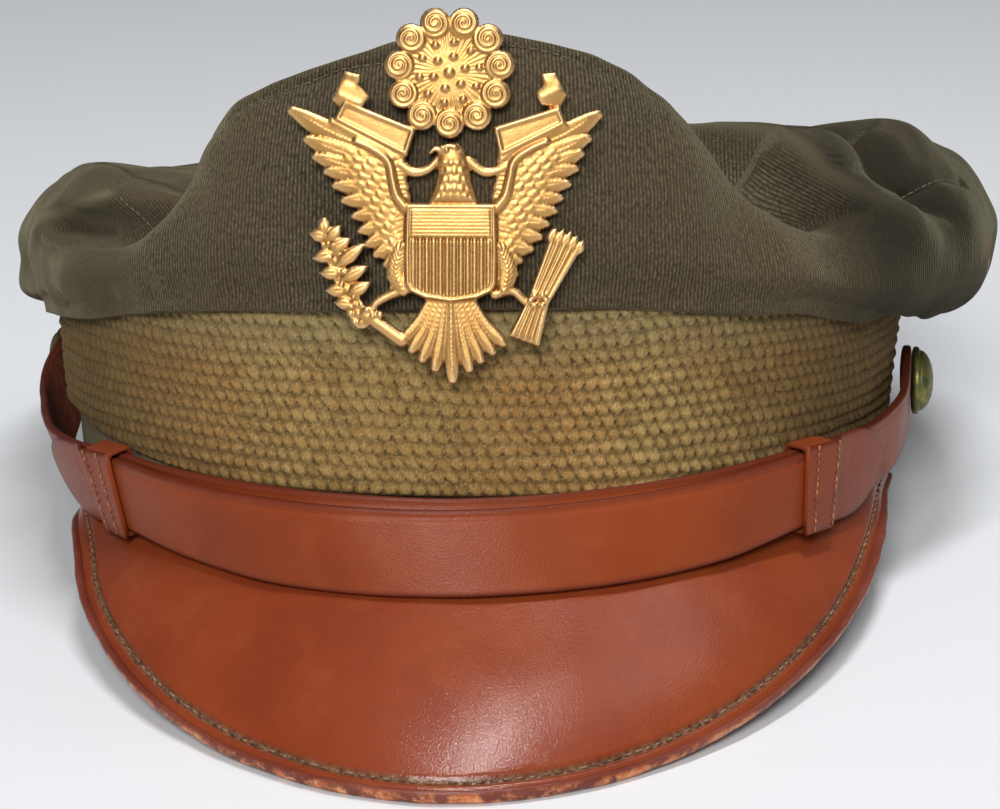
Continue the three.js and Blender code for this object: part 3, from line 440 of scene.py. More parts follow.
class Paint:
    """A material built from short calls; every call gives back a socket."""

    def __init__(self, name, **values):
        self.material = bpy.data.materials.new(name)
        self.material.use_nodes = True
        self.tree = self.material.node_tree
        self.shader = self.tree.nodes["Principled BSDF"]
        self.set(**values)

    def put(self, socket, value):
        if isinstance(value, bpy.types.NodeSocket):
            self.tree.links.new(value, socket)
        else:
            socket.default_value = value

    def set(self, **values):
        for key, value in values.items():
            self.put(self.shader.inputs[key.replace("_", " ")], value)

    def add(self, kind, sockets=None, output=0, **settings):
        node = self.tree.nodes.new("ShaderNode" + kind)
        for key, value in settings.items():
            setattr(node, key, value)
        for key, value in (sockets or {}).items():
            self.put(node.inputs[key], value)
        return node.outputs[output]

    def math(self, operation, *values):
        return self.add("Math", dict(enumerate(values)), operation=operation)

    def times(self, a, b):
        return self.math("MULTIPLY", a, b)

    def plus(self, a, b):
        return self.math("ADD", a, b)

    def place(self):
        return self.add("TexCoord", output="Object")

    def along(self, way):
        """Distance, in millimetres, of the place along a way."""
        sockets = {0: self.place(), 1: tuple(1000 * n for n in way)}
        return self.add("VectorMath", sockets, output=1, operation="DOT_PRODUCT")

    def cloth(self):
        """The piece's own flat coordinates, in millimetres, as two sockets."""
        uv = self.add("UVMap", uv_map="cloth")
        return [self.add("SeparateXYZ", {0: uv}, output=k) for k in (0, 1)]

    def paired(self, x, y):
        return self.add("CombineXYZ", {0: x, 1: y})

    def mark(self, name):
        return self.add("Attribute", output="Fac", attribute_name=name)

    def blend(self, mark, a, b):
        """From one number to another where a mark is set."""
        return self.add("Mix", {0: self.mark(mark), 2: a, 3: b}, data_type="FLOAT")

    def noise(self, scale, detail=3.0, rough=0.55, vector=None):
        where = self.place() if vector is None else vector
        sockets = {"Vector": where, "Scale": scale, "Detail": detail, "Roughness": rough}
        return self.add("TexNoise", sockets)

    def span(self, value, low, high, to_low=0.0, to_high=1.0):
        return self.add("MapRange", {0: value, 1: low, 2: high, 3: to_low, 4: to_high}, clamp=True)

    def wave(self, x, length):
        """Sine of x with the given wavelength, from 0 to 1."""
        turn = self.times(x, 2 * np.pi / length)
        return self.math("MULTIPLY_ADD", self.math("SINE", turn), 0.5, 0.5)

    def mix(self, factor, a, b):
        return self.add("Mix", {0: factor, 6: a, 7: b}, output=2, data_type="RGBA")

    def patches(self, base, other, cloud, low, high, share=1.0):
        """The base colour with patches of another where a cloud of noise runs high."""
        return self.mix(self.span(cloud, low, high, 0.0, share), base, other)

    def marked(self, base, other, mark, share=1.0):
        """The base colour going over to another where a mark is set."""
        return self.mix(self.times(self.mark(mark), share), base, other)

    def bump(self, height, distance, strength):
        return self.add("Bump", {"Height": height, "Distance": distance, "Strength": strength})


def tone(red, green, blue):
    """A shader colour from red, green and blue as seen on screen, 0 to 255."""
    seen = np.array([red, green, blue]) / 255.0
    light = np.where(seen <= 0.04045, seen / 12.92, ((seen + 0.055) / 1.055) ** 2.4)
    return (*[float(v) for v in light], 1.0)


# Pitches of the cloths' threads, in millimetres, and the way across the ribs where they lie over.
RIB = {"pitch": 0.74, "laid_pitch": 0.66, "laid_way": (-0.42, 0.10, -0.90)}
BAND_WEAVE = 0.7
# Leathers: deep, mid and light tone, roughness, weight of the coat and its roughness.
LEATHERS = {
    "russet_leather": ((116, 46, 20), (128, 55, 24), (144, 72, 36), 0.45, 0.5, 0.13),
    "strap_leather": ((116, 49, 22), (128, 57, 27), (142, 71, 40), 0.42, 0.06, 0.22),
    "keeper_leather": ((112, 46, 22), (124, 55, 26), (138, 70, 38), 0.4, 0.12, 0.22),
    "edge_leather": ((96, 42, 32), (116, 60, 46), (140, 86, 64), 0.4, 0.25, 0.22),
}


def wool_paint():
    """Napped olive-drab wool with fine ribs of broken threads. The ribs turn where a fold lays
    the cloth over and on the top panel, and fade where the nap stands."""
    p = Paint("wool", Roughness=1.0, Sheen_Weight=0.4, Sheen_Roughness=0.4)
    p.set(Specular_IOR_Level=0.1, Sheen_Tint=tone(150, 144, 116))
    u, v = p.cloth()
    sway = p.plus(p.times(p.noise(60.0, 2.0), 1.3), p.times(p.noise(900.0, 1.0), 0.35))
    across = p.blend("panel", u, p.along((1, 0, 0)))
    upright = p.wave(p.plus(across, sway), RIB["pitch"])
    laid = p.wave(p.plus(p.along(RIB["laid_way"]), p.times(sway, 0.5)), RIB["laid_pitch"])
    rib = p.blend("turned", upright, laid)
    threads = p.noise(1.0, 2.0, 0.7, vector=p.paired(p.times(u, 1.35), v))
    speck = p.span(threads, 0.36, 0.66, 0.12, 1.1)
    flat = p.times(p.math("SUBTRACT", 1.0, p.mark("nap")), 0.95)
    seen = p.plus(p.times(p.times(rib, speck), flat), p.times(p.mark("nap"), 0.42))
    colour = p.mix(seen, tone(36, 31, 24), tone(104, 93, 72))
    fuzz = p.noise(1100.0, 3.0, 0.7)
    colour = p.patches(colour, tone(86, 78, 60), fuzz, 0.4, 0.75, 0.5)
    colour = p.patches(colour, tone(78, 64, 44), p.noise(30.0, 4.0), 0.35, 0.7, 0.35)
    # The ridge highlight mark is a painted highlight along fold ridges; the shade mark is painted shade
    # along creases, a seam, the hollow and the side lobes.
    for mark, other, share in (
        ("worn", tone(126, 118, 92), 0.5),
        ("shade", tone(24, 21, 16), 1.0),
        ("stain", tone(96, 40, 26), 1.0),
        ("chalk", tone(196, 176, 160), 1.0),
    ):
        colour = p.marked(colour, other, mark, share)
    height = p.plus(p.times(rib, flat), p.times(fuzz, 1.2))
    p.set(Base_Color=colour, Normal=p.bump(height, 0.00016, 0.8))
    return p.material


def band_paint():
    """Grey-green wool cloth of the band."""
    p = Paint("band_cloth", Roughness=0.95, Specular_IOR_Level=0.15)
    weave = p.times(*(p.wave(way, BAND_WEAVE) for way in p.cloth()))
    colour = p.mix(weave, tone(118, 110, 88), tone(160, 150, 124))
    colour = p.patches(colour, tone(104, 92, 68), p.noise(60.0), 0.4, 0.7, 0.5)
    height = p.plus(weave, p.noise(700.0))
    p.set(Base_Color=colour, Normal=p.bump(height, 0.00012, 0.7))
    return p.material


def braid_paint():
    """Olive-gold mohair, light on the crowns of the stitches and brown between them as painted light
    and shade, and darker toward the sides of the band as painted shade.
    """
    p = Paint("mohair_braid", Roughness=0.9, Sheen_Weight=0.25, Specular_IOR_Level=0.2)
    p.set(Sheen_Tint=tone(170, 150, 100))
    u, v = p.cloth()
    hair = p.noise(1500.0, 3.0, 0.7)
    slanted = p.paired(p.times(u, 2.2), p.math("MULTIPLY_ADD", u, 2.0, v))
    strands = p.noise(1.0, 3.0, 0.7, vector=slanted)
    gold = p.marked(tone(142, 114, 64), tone(168, 139, 84), "cell")
    gold = p.patches(gold, tone(158, 112, 62), p.noise(28.0), 0.42, 0.62, 0.75)
    gold = p.marked(gold, tone(144, 132, 92), "upper", 0.7)
    gold = p.mix(p.span(strands, 0.35, 0.65, 0.55, 0.0), gold, tone(84, 64, 32))
    # Painted shade: dark brown where the stitches sink, the gold on their raised crowns.
    colour = p.mix(p.span(p.mark("raised"), 0.12, 0.66), tone(50, 34, 16), gold)
    colour = p.patches(colour, tone(190, 164, 108), hair, 0.48, 0.75, 0.55)
    # Painted shade: darker toward the sides of the band, away from the front.
    colour = p.marked(colour, tone(40, 26, 12), "soiled", 0.72)
    p.set(Base_Color=colour, Normal=p.bump(p.plus(strands, hair), 0.00035, 0.9))
    return p.material


def leather_paint(name):
    """Polished leather with a fine grain, cloudy colour and rubbed patches."""
    deep, mid, light, gloss, coat, coat_rough = LEATHERS[name]
    p = Paint(name, Coat_Weight=coat, Coat_Roughness=coat_rough, Specular_IOR_Level=0.12)
    colour = p.patches(tone(*deep), tone(*mid), p.noise(24.0, 4.0, 0.6), 0.35, 0.65)
    colour = p.patches(colour, tone(*light), p.noise(90.0, 4.0, 0.65), 0.5, 0.75, 0.3)
    # Darker cut edges: the edges' own darker colour, and painted shade along the outlines of the layers
    # and tabs.
    colour = p.marked(colour, tone(72, 26, 18), "rim", 0.75)
    dust = p.patches(tone(66, 42, 28), tone(118, 88, 62), p.noise(900.0), 0.35, 0.65)
    colour = p.marked(colour, dust, "groove", 0.85)
    pores = p.add("TexVoronoi", {"Vector": p.place(), "Scale": 2400.0}, output="Distance")
    height = p.plus(p.times(pores, 0.8), p.noise(4200.0))
    rough = p.span(p.noise(320.0, 5.0, 0.7), 0.3, 0.8, gloss - 0.05, gloss + 0.12)
    p.set(Base_Color=colour, Roughness=rough, Normal=p.bump(height, 0.00006, 0.7))
    p.set(Coat_Normal=p.bump(height, 0.00005, 0.7))
    return p


def edge_paint():
    """Rolled edge: dark red leather, rubbed to orange and to a pale fibre along its ridge."""
    p = leather_paint("edge_leather")
    rubbed = p.times(p.span(p.noise(240.0, 5.0, 0.7), 0.44, 0.56), p.mark("ridge"))
    base = p.shader.inputs["Base Color"].links[0].from_socket
    fibre = p.patches(tone(196, 106, 58), tone(222, 166, 116), p.noise(700.0), 0.4, 0.7)
    p.set(Base_Color=p.mix(p.times(rubbed, 0.9), base, fibre))
    return p.material


def flesh_paint():
    """Bare inner side of the strap."""
    p = Paint("strap_flesh", Roughness=0.8, Specular_IOR_Level=0.25)
    colour = p.patches(tone(110, 52, 36), tone(146, 78, 54), p.noise(420.0, 4.0), 0.35, 0.65)
    p.set(Base_Color=colour, Normal=p.bump(p.noise(1200.0), 0.0001, 0.8))
    return p.material


def thread_paint(name, dark, light):
    p = Paint(name, Roughness=0.75, Specular_IOR_Level=0.3)
    p.set(Base_Color=p.patches(tone(*dark), tone(*light), p.noise(700.0), 0.4, 0.6))
    p.set(Normal=p.bump(p.noise(4000.0, 2.0), 0.00005, 0.7))
    return p.material


def gilt_paint():
    """Gilt metal, pale and bright with a painted highlight on its proud edges, and brown with painted
    shade in its recesses.
    """
    p = Paint("gilt", Metallic=1.0)
    grime, grit = p.noise(220.0, 5.0, 0.65), p.noise(1800.0)
    colour = p.patches(tone(184, 138, 78), tone(200, 156, 96), grime, 0.35, 0.65)
    # Painted highlight: pale and bright on the proud edges.
    colour = p.marked(colour, tone(234, 200, 150), "proud_highlight", 0.75)
    # Painted shade: brown in the recesses, a little uneven with the grime noise.
    low = p.times(p.mark("hollow"), p.span(grime, 0.3, 0.7, 1.0, 0.75))
    colour = p.mix(low, colour, tone(112, 60, 20))
    p.set(Base_Color=colour, Roughness=p.span(grit, 0.3, 0.7, 0.36, 0.52))
    p.set(Normal=p.bump(p.plus(grit, grime), 0.00005, 0.7))
    return p.material


def brass_paint():
    """Old brass button, with patches of dull green."""
    p = Paint("old_brass", Metallic=0.75)
    patina = p.noise(420.0, 5.0, 0.7)
    colour = p.patches(tone(70, 84, 52), tone(132, 122, 70), patina, 0.35, 0.62)
    p.set(Base_Color=colour, Roughness=p.span(patina, 0.3, 0.7, 0.62, 0.42))
    p.set(Normal=p.bump(p.noise(900.0, 4.0), 0.0001, 0.6))
    return p.material


# Crown

CROWN_KNOTS = np.concatenate([CROWN_SECTIONS[:, 0] + turn for turn in (-360, 0, 360)])
CROWN_ROWS = np.tile(CROWN_SECTIONS[:, 1:], (3, 1))
POLE = 10
NORMAL_STEP = {"degrees": 0.25, "stations": 0.02}
# Below this height, and from this station up, the cloth is pushed clear of the band.
BAND_CLEAR = {"height": BAND_HEIGHT + 4.4, "fade": 2.4, "station": 2.4}
# Grid of the crown: fine in front, sparse behind; levels are stations from, to and how many.
CROWN_GRID = {"front_half": 112, "front": 470, "rear": 150}
CROWN_LEVELS = [(0, 2, 10), (2, 7.4, 76), (7.4, 9.94, 32)]
# The inner face is sparse, and the wall thicker above a station for the folds to bury in.
INNER = {"every": 5, "thicker": 1.0, "station": 3.2, "fade": 0.6}


def crown_column(rows, name):
    return rows[:, CROWN_COLUMNS.index(name) - 1]


def panel_waves():
    degrees = np.arange(-165.0, 195.0, 3.0)
    height = crown_column(spline(CROWN_KNOTS, CROWN_ROWS, degrees), "top_z")
    waves = []
    for n in range(PANEL["waves"] + 1):
        share = (1 if n == 0 else 2) / len(degrees)
        turn = n * np.radians(degrees)
        waves.append((share * np.sum(height * np.cos(turn)), share * np.sum(height * np.sin(turn))))
    return waves


PANEL_WAVES = panel_waves()


def panel_z(degrees, reach):
    """Height of the top panel; the waves of its rim die out toward the middle."""
    turn = np.radians(degrees)
    height = np.zeros_like(turn)
    for n, (cosine, sine) in enumerate(PANEL_WAVES):
        height += reach ** n * (cosine * np.cos(n * turn) + sine * np.sin(n * turn))
    return height


def crown_stations(degrees):
    """Distance out and height of the eleven stations at each angle: (angles, 11, 2)."""
    wrapped = (np.asarray(degrees, float) + 165) % 360 - 165
    rows = spline(CROWN_KNOTS, CROWN_ROWS, wrapped)
    angle = np.radians(wrapped)
    at = {name: crown_column(rows, name) for name in CROWN_COLUMNS[1:]}
    hang = smooth((at["hem_out"] - band_out(angle, at["hem_z"]) - HEM["clear"]) / HEM["fade"])
    edge_z = at["hem_z"] + HEM["climb"] * hang
    edge_out = band_out(angle, edge_z) + HEM_CLEARANCE + CROWN_WALL * (1 - hang)
    hem_z = at["hem_z"] + HEM["drop"] * (1 - hang)
    stations = [
        (edge_out, edge_z),
        ((edge_out + at["hem_out"]) / 2, (edge_z + hem_z) / 2 - HEM["sag"] * hang),
        (at["hem_out"], hem_z),
        *((at[name + "_out"], at[name + "_z"]) for name in ("low", "fold", "high", "rim", "crest")),
        (PANEL["shoulder_out"] * at["crest_out"], panel_z(wrapped, PANEL["shoulder"])),
        (PANEL["inner_out"] * at["crest_out"], panel_z(wrapped, PANEL["inner"])),
        (0 * edge_out, panel_z(wrapped, 0.0)),
    ]
    return np.stack([np.stack(pair, -1) for pair in stations], 1)


def crown_base(degrees, stations):
    """Points of the crown without its folds: (angles, stations, 3)."""
    rows = crown_stations(degrees)
    across = crown_stations(np.asarray(degrees) + 180)[:, 9]
    far = np.stack([-across[:, 0], across[:, 1]], -1)[:, None]
    rows = np.concatenate([rows, far], 1).transpose(1, 0, 2)
    profile = spline(np.arange(12.0), rows, stations).transpose(1, 0, 2)
    angle = np.radians(np.asarray(degrees))[:, None]
    return polar(angle, profile[..., 0], profile[..., 1])


def crown_distance(degrees, stations, path):
    """Distance over the cloth, in millimetres, from a path of angles and stations."""
    across = (np.asarray(degrees) * FOLD_SCALE["per_degree"])[:, None]
    up = (np.asarray(stations) * FOLD_SCALE["per_station"])[None, :]
    nearest = np.full((len(degrees), len(stations)), np.inf)
    flat = [(a * FOLD_SCALE["per_degree"], s * FOLD_SCALE["per_station"]) for a, s in path]
    for (x0, y0), (x1, y1) in zip(flat, flat[1:]):
        dx, dy = x1 - x0, y1 - y0
        t = clamp01(((across - x0) * dx + (up - y0) * dy) / (dx * dx + dy * dy))
        nearest = np.minimum(nearest, np.hypot(across - x0 - t * dx, up - y0 - t * dy))
    return nearest


def crown_points(degrees, stations):
    """Outer face of the crown with its folds and creases, and the normals of its plain form."""
    points = crown_base(degrees, stations)
    turn, climb = NORMAL_STEP["degrees"], NORMAL_STEP["stations"]
    round_way = crown_base(degrees + turn, stations) - crown_base(degrees - turn, stations)
    above, below = np.minimum(stations + climb, POLE), np.maximum(stations - climb, 0)
    up_way = crown_base(degrees, above) - crown_base(degrees, below)
    normal = unit(np.cross(round_way, up_way))
    height = np.zeros(points.shape[:2])
    for rise, width, power, path in FOLDS:
        height += rise * bell(crown_distance(degrees, stations, path), width, power)
    height = blurred(height, FOLD_BLURS) + crown_creases(degrees, stations, points)
    points = points + normal * height[..., None]
    angle = np.arctan2(points[..., 0], -points[..., 1])
    out = np.hypot(points[..., 0], points[..., 1])
    clear = band_out(angle, np.minimum(points[..., 2], BAND_HEIGHT)) + CROWN_WALL + HEM_CLEARANCE
    low = smooth((BAND_CLEAR["height"] - points[..., 2]) / BAND_CLEAR["fade"])
    push = np.maximum(0, clear - out) * low * (stations >= BAND_CLEAR["station"])[None, :]
    points[..., 0] += push * np.sin(angle)
    points[..., 1] -= push * np.cos(angle)
    return points, normal


# Seams and small creases of the crown, as paths of angle and station. A row of CREASES holds the
# height (+ a ridge, - a dent), the half width and the path.
FRONT_SEAM = [
    (-26, 6.0), (-21, 6.1), (-16, 6.15), (-12, 6.25), (-6, 6.15), (0, 6.2), (6, 6.35), (12, 6.25),
]
LEFT_SEAM = [(-56, 7.0), (-52, 6.25), (-46, 5.55), (-36, 4.25)]
RIGHT_SEAM = [(60, 5.1), (64, 5.45), (72, 5.55), (78, 5.35)]
LEFT_CREASE = [(-40, 4.5), (-49, 4.55), (-60, 4.65), (-66, 4.6)]
RIGHT_CREASE = [(33, 7.0), (34, 6.3), (36, 5.75), (45, 5.3), (52, 5.05)]
FAR_CREASE = [(65, 7.6), (62, 7.0), (61, 6.0), (65, 5.2), (69, 4.7)]
CREASES = [
    (-1.5, 2.2, LEFT_CREASE),
    (-1.3, 2.2, RIGHT_CREASE),
    (-1.2, 2.2, FAR_CREASE),
    (-2.4, 9.0, [(88, 6.8), (98, 6.6), (118, 6.4)]),
    (-1.6, 12.0, [(84, 5.4), (118, 5.2)]),
    (1.8, 9.0, [(80, 2.9), (118, 2.9)]),
    (-2.0, 8.0, [(-78, 3.8), (-110, 3.8)]),
    (0.8, 9.0, [(-80, 2.6), (-112, 2.6)]),
    (2.6, 10.0, [(60, 7.2), (76, 7.0)]),
    (1.0, 9.0, [(44, 7.2), (54, 7.2)]),
    (-2.2, 6.0, [(24, 7.1), (31, 7.3)]),
    (-0.35, 1.0, FRONT_SEAM),
    (0.2, 3.2, FRONT_SEAM),
    (-0.3, 1.1, LEFT_SEAM),
    (-1.3, 1.6, RIGHT_SEAM),
    (0.5, 4.0, [(58, 4.9), (62, 5.2), (70, 5.3)]),
]
# Unevenness of the cloth as height, size and seed, and its puckers above the hem.
CLOTH_SWELLS = ((0.32, 26.0, 3), (0.1, 9.0, 4))
PUCKERS = {"rise": 0.28, "size": 9.0, "station": 2.2, "reach": 0.7}
# The lobes beside the front panel, left and right: side, angle where they start and fade. Over them the
# nap stands and painted shade darkens the cloth, the right lobe most.
LOBES = ((-1, 34, 8), (1, 38, 16))
LOBE_REAR = {"angle": 150, "fade": 40}
LOBE_TOP = {"station": 8.8, "fade": 1.6}
PANEL_EDGE = {"station": 6.9, "fade": 0.1}
# Where the cloth is turned over, stained and chalked, as paths of angle and station.
HOLLOW = [(-41, 5.2), (-52, 5.4), (-63, 5.2)]
DENT = [(43, 6.4), (47, 6.1), (52, 5.9)]
STAIN = [(83, 3.75), (84.5, 3.3)]
CHALK = [(82.4, 3.45), (83, 3.2)]


def crown_creases(degrees, stations, points):
    height = sum(rise * ripple(points, size, seed) for rise, size, seed in CLOTH_SWELLS)
    for rise, width, path in CREASES:
        height += rise * bell(crown_distance(degrees, stations, path), width)
    puckers = ripple(points * np.array([1.0, 1.0, 0.1]), PUCKERS["size"], 5)
    along_hem = bell(stations - PUCKERS["station"], PUCKERS["reach"])[None, :]
    height += PUCKERS["rise"] * along_hem * puckers
    return height * smooth((POLE - stations) / 0.6)[None, :]


def crown_uv(points):
    """Flat coordinates over the cloth, in millimetres, from its own arc lengths."""
    rows = np.concatenate([points, points[:1]], 0)
    belt = travelled(rows)[:, rows.shape[1] // 3]
    up = travelled(rows.transpose(1, 0, 2)).T
    return np.stack([np.broadcast_to(belt[:, None], up.shape), up], -1)


def crown_marks(degrees, stations):
    """Where the ribs lie over and where the nap stands; a painted highlight along two fold ridges;
    painted shade along a seam and the creases, in the hollow and over the side lobes.
    """
    def away(path):
        return crown_distance(degrees, stations, path)

    def near(path, reach, fade):
        return smooth((reach - away(path)) / fade)

    level = stations[None, :]
    side = smooth((LOBE_TOP["station"] - level) / LOBE_TOP["fade"])
    ahead = smooth((LOBE_REAR["angle"] - np.abs(degrees)) / LOBE_REAR["fade"])
    lobe_left, lobe_right = (
        (smooth((hand * degrees - start) / fade) * ahead)[:, None] * side
        for hand, start, fade in LOBES
    )
    turned = np.maximum(near(HOLLOW, 10, 3), near(DENT, 9, 3))
    # Painted highlight: paler along the ridges of the lap and ridge folds, where the nap also stands.
    worn = np.maximum(bell(away(LEFT_LAP), 2.2), bell(away(RIGHT_RIDGE), 2.5))
    nap = 0.6 * np.maximum(lobe_left, 0.8 * lobe_right)
    nap = np.maximum(nap * (1 - 0.8 * turned), 0.9 * worn)
    # Painted shade: darker along the right seam and the creases, in the hollow and over the side lobes.
    shade = np.maximum.reduce([
        0.5 * bell(away(RIGHT_SEAM), 0.9),
        0.2 * lobe_left,
        0.8 * lobe_right,
        0.36 * near(HOLLOW, 9, 5),
        *(0.6 * bell(away(path), 1.6) for path in (LEFT_CREASE, RIGHT_CREASE, FAR_CREASE)),
    ])
    panel = smooth((level - PANEL_EDGE["station"]) / PANEL_EDGE["fade"]) + 0 * nap
    return {
        "turned": turned * (1 - panel), "worn": worn, "shade": shade, "nap": nap, "panel": panel,
        "stain": 0.8 * near(STAIN, 3.2, 0.9), "chalk": 0.85 * near(CHALK, 1.3, 0.5),
    }


def grid_at(field, rows, columns, row, column):
    """Values between the points of a grid, at given places along its rows and columns."""
    i = np.interp(row, rows, np.arange(len(rows)))
    j = np.interp(column, columns, np.arange(len(columns)))
    i0, j0 = i.astype(int), j.astype(int)
    i1, j1 = np.minimum(i0 + 1, len(rows) - 1), np.minimum(j0 + 1, len(columns) - 1)
    near = mix(field[i0, j0], field[i0, j1], (j - j0)[:, None])
    far = mix(field[i1, j0], field[i1, j1], (j - j0)[:, None])
    return mix(near, far, (i - i0)[:, None])


def crown_stitches(degrees, stations, outer, normal):
    """Rows of topstitching beside the crown's seams."""
    parts = []
    for path in (FRONT_SEAM, LEFT_SEAM, RIGHT_SEAM):
        line = curve(path, 40 * len(path))
        normals = grid_at(normal, degrees, stations, line[:, 0], line[:, 1])
        points = grid_at(outer, degrees, stations, line[:, 0], line[:, 1]) + 0.1 * normals
        parts += stitched(points, normals, CROWN_STITCH, 1)
    paint = thread_paint("crown_thread", (68, 61, 46), (98, 90, 71))
    piece("crown_stitches", parts, None, "wool", paint, gap=THREAD_GAP)


def crown():
    half = CROWN_GRID["front_half"]
    front = np.linspace(-half, half, CROWN_GRID["front"], endpoint=False)
    rear = np.linspace(half, 360 - half, CROWN_GRID["rear"], endpoint=False)
    degrees = np.concatenate([front, rear])
    levels = [np.linspace(*row, endpoint=row is CROWN_LEVELS[-1]) for row in CROWN_LEVELS]
    stations = np.concatenate(levels)
    wrapped = np.where(degrees > 180, degrees - 360, degrees)
    outer, upright = crown_points(wrapped, stations)
    crown_stitches(degrees, stations, outer, upright)
    sparse = np.append(np.arange(0, len(stations) - 3, INNER["every"]), len(stations) - 1)
    thicker = INNER["thicker"] * smooth((stations - INNER["station"]) / INNER["fade"])
    wall = CROWN_WALL + thicker[:, None]
    inner = (outer - upright * wall)[:, sparse]
    hem = np.stack([inner[:, 0], mix(inner[:, 0], outer[:, 0], 0.5), outer[:, 0]], 1)
    hem[:, 1, 2] -= HEM["roll"]
    parts = [
        strip(tip(outer), crown_uv(outer), crown_marks(wrapped, stations), ring=True),
        strip(tip(inner)[:, ::-1], ring=True),
        strip(tip(hem), ring=True),
        fan(tip(outer[:, -1])),
        fan(tip(inner[:, -1]), True),
    ]
    piece("crown_cloth", parts, "crown", "wool", wool_paint())


# Band and braid

BRAID = {
    "pitch": 2.62, "row": 2.42, "rise": 0.6, "sink": 0.95,
    "skew": 0.34, "narrow": 0.2, "square": 3.2, "sway": 0.16, "wander": 0.15, "swell": 0.15,
}
# The braid's lower edge, and the angles between which it rises on the wearer's right.
BRAID_FOOT = {"height": 7.2, "rise": 5.2, "front": 22, "front_fade": 50, "rear": 150, "rear_fade": 40}
# Lengths of braid: first and last angle, columns and steps.
BRAID_LENGTHS = {"braid_front": (-100, 100, 880, 110), "braid_rear": (100, 260, 380, 70)}
BAND_GIRTH = 590
BAND_GRID = {"columns": 480, "rows": 26}
FOOT_ROUND = {"inset": 0.35, "share": 0.03}
ARC_DEGREES = np.arange(-180.0, 541.0)


def band_base():
    angle = np.radians(np.linspace(-180, 180, BAND_GRID["columns"], endpoint=False))
    outer = BRAID_THICKNESS + FIT
    inner = outer + BAND_THICKNESS
    heights = np.linspace(0, 1, BAND_GRID["rows"])

    def face(inset, share):
        foot = polar(angle, band_out(angle, BAND_HEM) - inset, 0.0)
        foot_z = np.maximum(BAND_HEM, rest_z(foot[:, 1]))
        z = foot_z + (BAND_HEIGHT - foot_z) * share
        return polar(angle, band_out(angle, z) - inset, z)

    rounded = [FOOT_ROUND["inset"] * (1 - smooth(share / FOOT_ROUND["share"])) for share in heights]
    outside = [face(outer + turn, share) for turn, share in zip(rounded, heights)]
    inside = [face(inner - turn, share) for turn, share in zip(rounded[::-1], heights[::-1])]
    middle = (outer + inner) / 2
    points = np.stack([*outside, face(middle, 1.0), *inside, face(middle, 0.0)], 1)
    length = np.linspace(0, BAND_GIRTH, len(angle) + 1)[:, None]
    climb = travelled(points[0])
    climb = np.append(climb, climb[-1] + 2)[None, :]
    uv = np.stack(np.broadcast_arrays(length, climb), -1)
    parts = [strip(tip(points), uv, ring=True, wrap=True)]
    piece("band_cloth", parts, "band_base", "band_cloth", band_paint())


def braid_foot_z(degrees):
    front = smooth((-degrees - BRAID_FOOT["front"]) / BRAID_FOOT["front_fade"])
    rear = smooth((degrees + BRAID_FOOT["rear"]) / BRAID_FOOT["rear_fade"])
    return BRAID_FOOT["height"] + BRAID_FOOT["rise"] * front * rear


def braid_arc():
    """Length along the band at each of the arc's degrees, and how many stitches go round."""
    turn = np.radians(ARC_DEGREES)
    length = travelled(polar(turn, band_out(turn, BAND_HEIGHT / 2), 0.0))
    return length, round(length[360] / BRAID["pitch"])


def braid(name, first, last, columns, steps, paint):
    """Braid of overlapping rounded stitches in staggered rows."""
    degrees = np.linspace(first, last, columns)
    angle = np.radians(degrees)[:, None]
    turned = (degrees + 180) % 360 - 180
    share = np.linspace(0, 1, steps)[None, :]
    z = mix(braid_foot_z(turned)[:, None], BAND_HEIGHT - 0.4, share)
    out = band_out(angle, z)
    length, count = braid_arc()
    arc = np.interp(degrees, ARC_DEGREES, length)[:, None] + 0 * z
    x = arc / length[360] * count
    y = (BAND_HEIGHT - z) / BRAID["row"]
    y = y + BRAID["wander"] * ripple(np.stack([x * 0.5, y, 0 * x], -1), 9.0, 8)
    x = x + BRAID["sway"] * ripple(np.stack([x, y * 2.0, 0 * x], -1), 7.0, 9)
    height, random = scales(x + 4, y + 4, BRAID["skew"], BRAID["narrow"], BRAID["square"])
    height = height * (0.85 + 0.25 * random)
    lift = -BRAID["sink"] + (BRAID["sink"] + BRAID["rise"]) * height
    lift = lift + BRAID["swell"] * ripple(np.stack([x, y, 0 * x], -1), 14.0, 10)
    edge = smooth(share / 0.02) * smooth((1 - share) / 0.02)
    lift = mix(-BRAID["sink"] - 0.2, lift, edge)
    back = polar(angle, out - BRAID_THICKNESS + 0.05, z)[:, [-1, 0]]
    points = np.concatenate([polar(angle, out + lift, z), back], 1)
    flat = np.stack([arc, BAND_HEIGHT - z], -1)
    flat = np.concatenate([flat, flat[:, -1:], flat[:, :1], flat[:, :1]], 1)
    # raised sets the painted shade between the stitches; soiled sets the painted shade toward the
    # sides.
    marks = {
        "raised": height * edge,
        "cell": random,
        "upper": smooth((z - 27) / 12),
        "soiled": smooth((np.abs(turned)[:, None] - 14) / 42) + 0 * z,
    }
    marks = {mark: np.pad(values, ((0, 0), (0, 2))) for mark, values in marks.items()}
    piece(name, closed(points, flat, marks), "braid", "mohair_braid", paint)


# Visor

EDGE_KNOTS = np.arange(float(len(VISOR_EDGE)))
CHANNEL = {"inside": 2.6, "half": 0.72, "depth": 0.5}
BEAD = {"half": 0.85, "rise": 1.5, "shift": 1.15, "tuck": 0.45}
EDGE_BEND = {"reach": 14.0, "drop": 1.0}
# Share of its thickness by which the visor stands out at its root, in the middle and at its corners.
ROOT_OUT = (0.72, 1.02)
# Reach over which the bow and the channel come in from the corners, and the leather's unevenness.
VISOR_FORM = {"bow": 40, "channel": 16, "edge_lift": 0.45, "swell": 0.16, "ragged": 0.07}
VISOR_GRID = {"columns": 420, "rows": 64, "low_rows": 14, "round": 18}


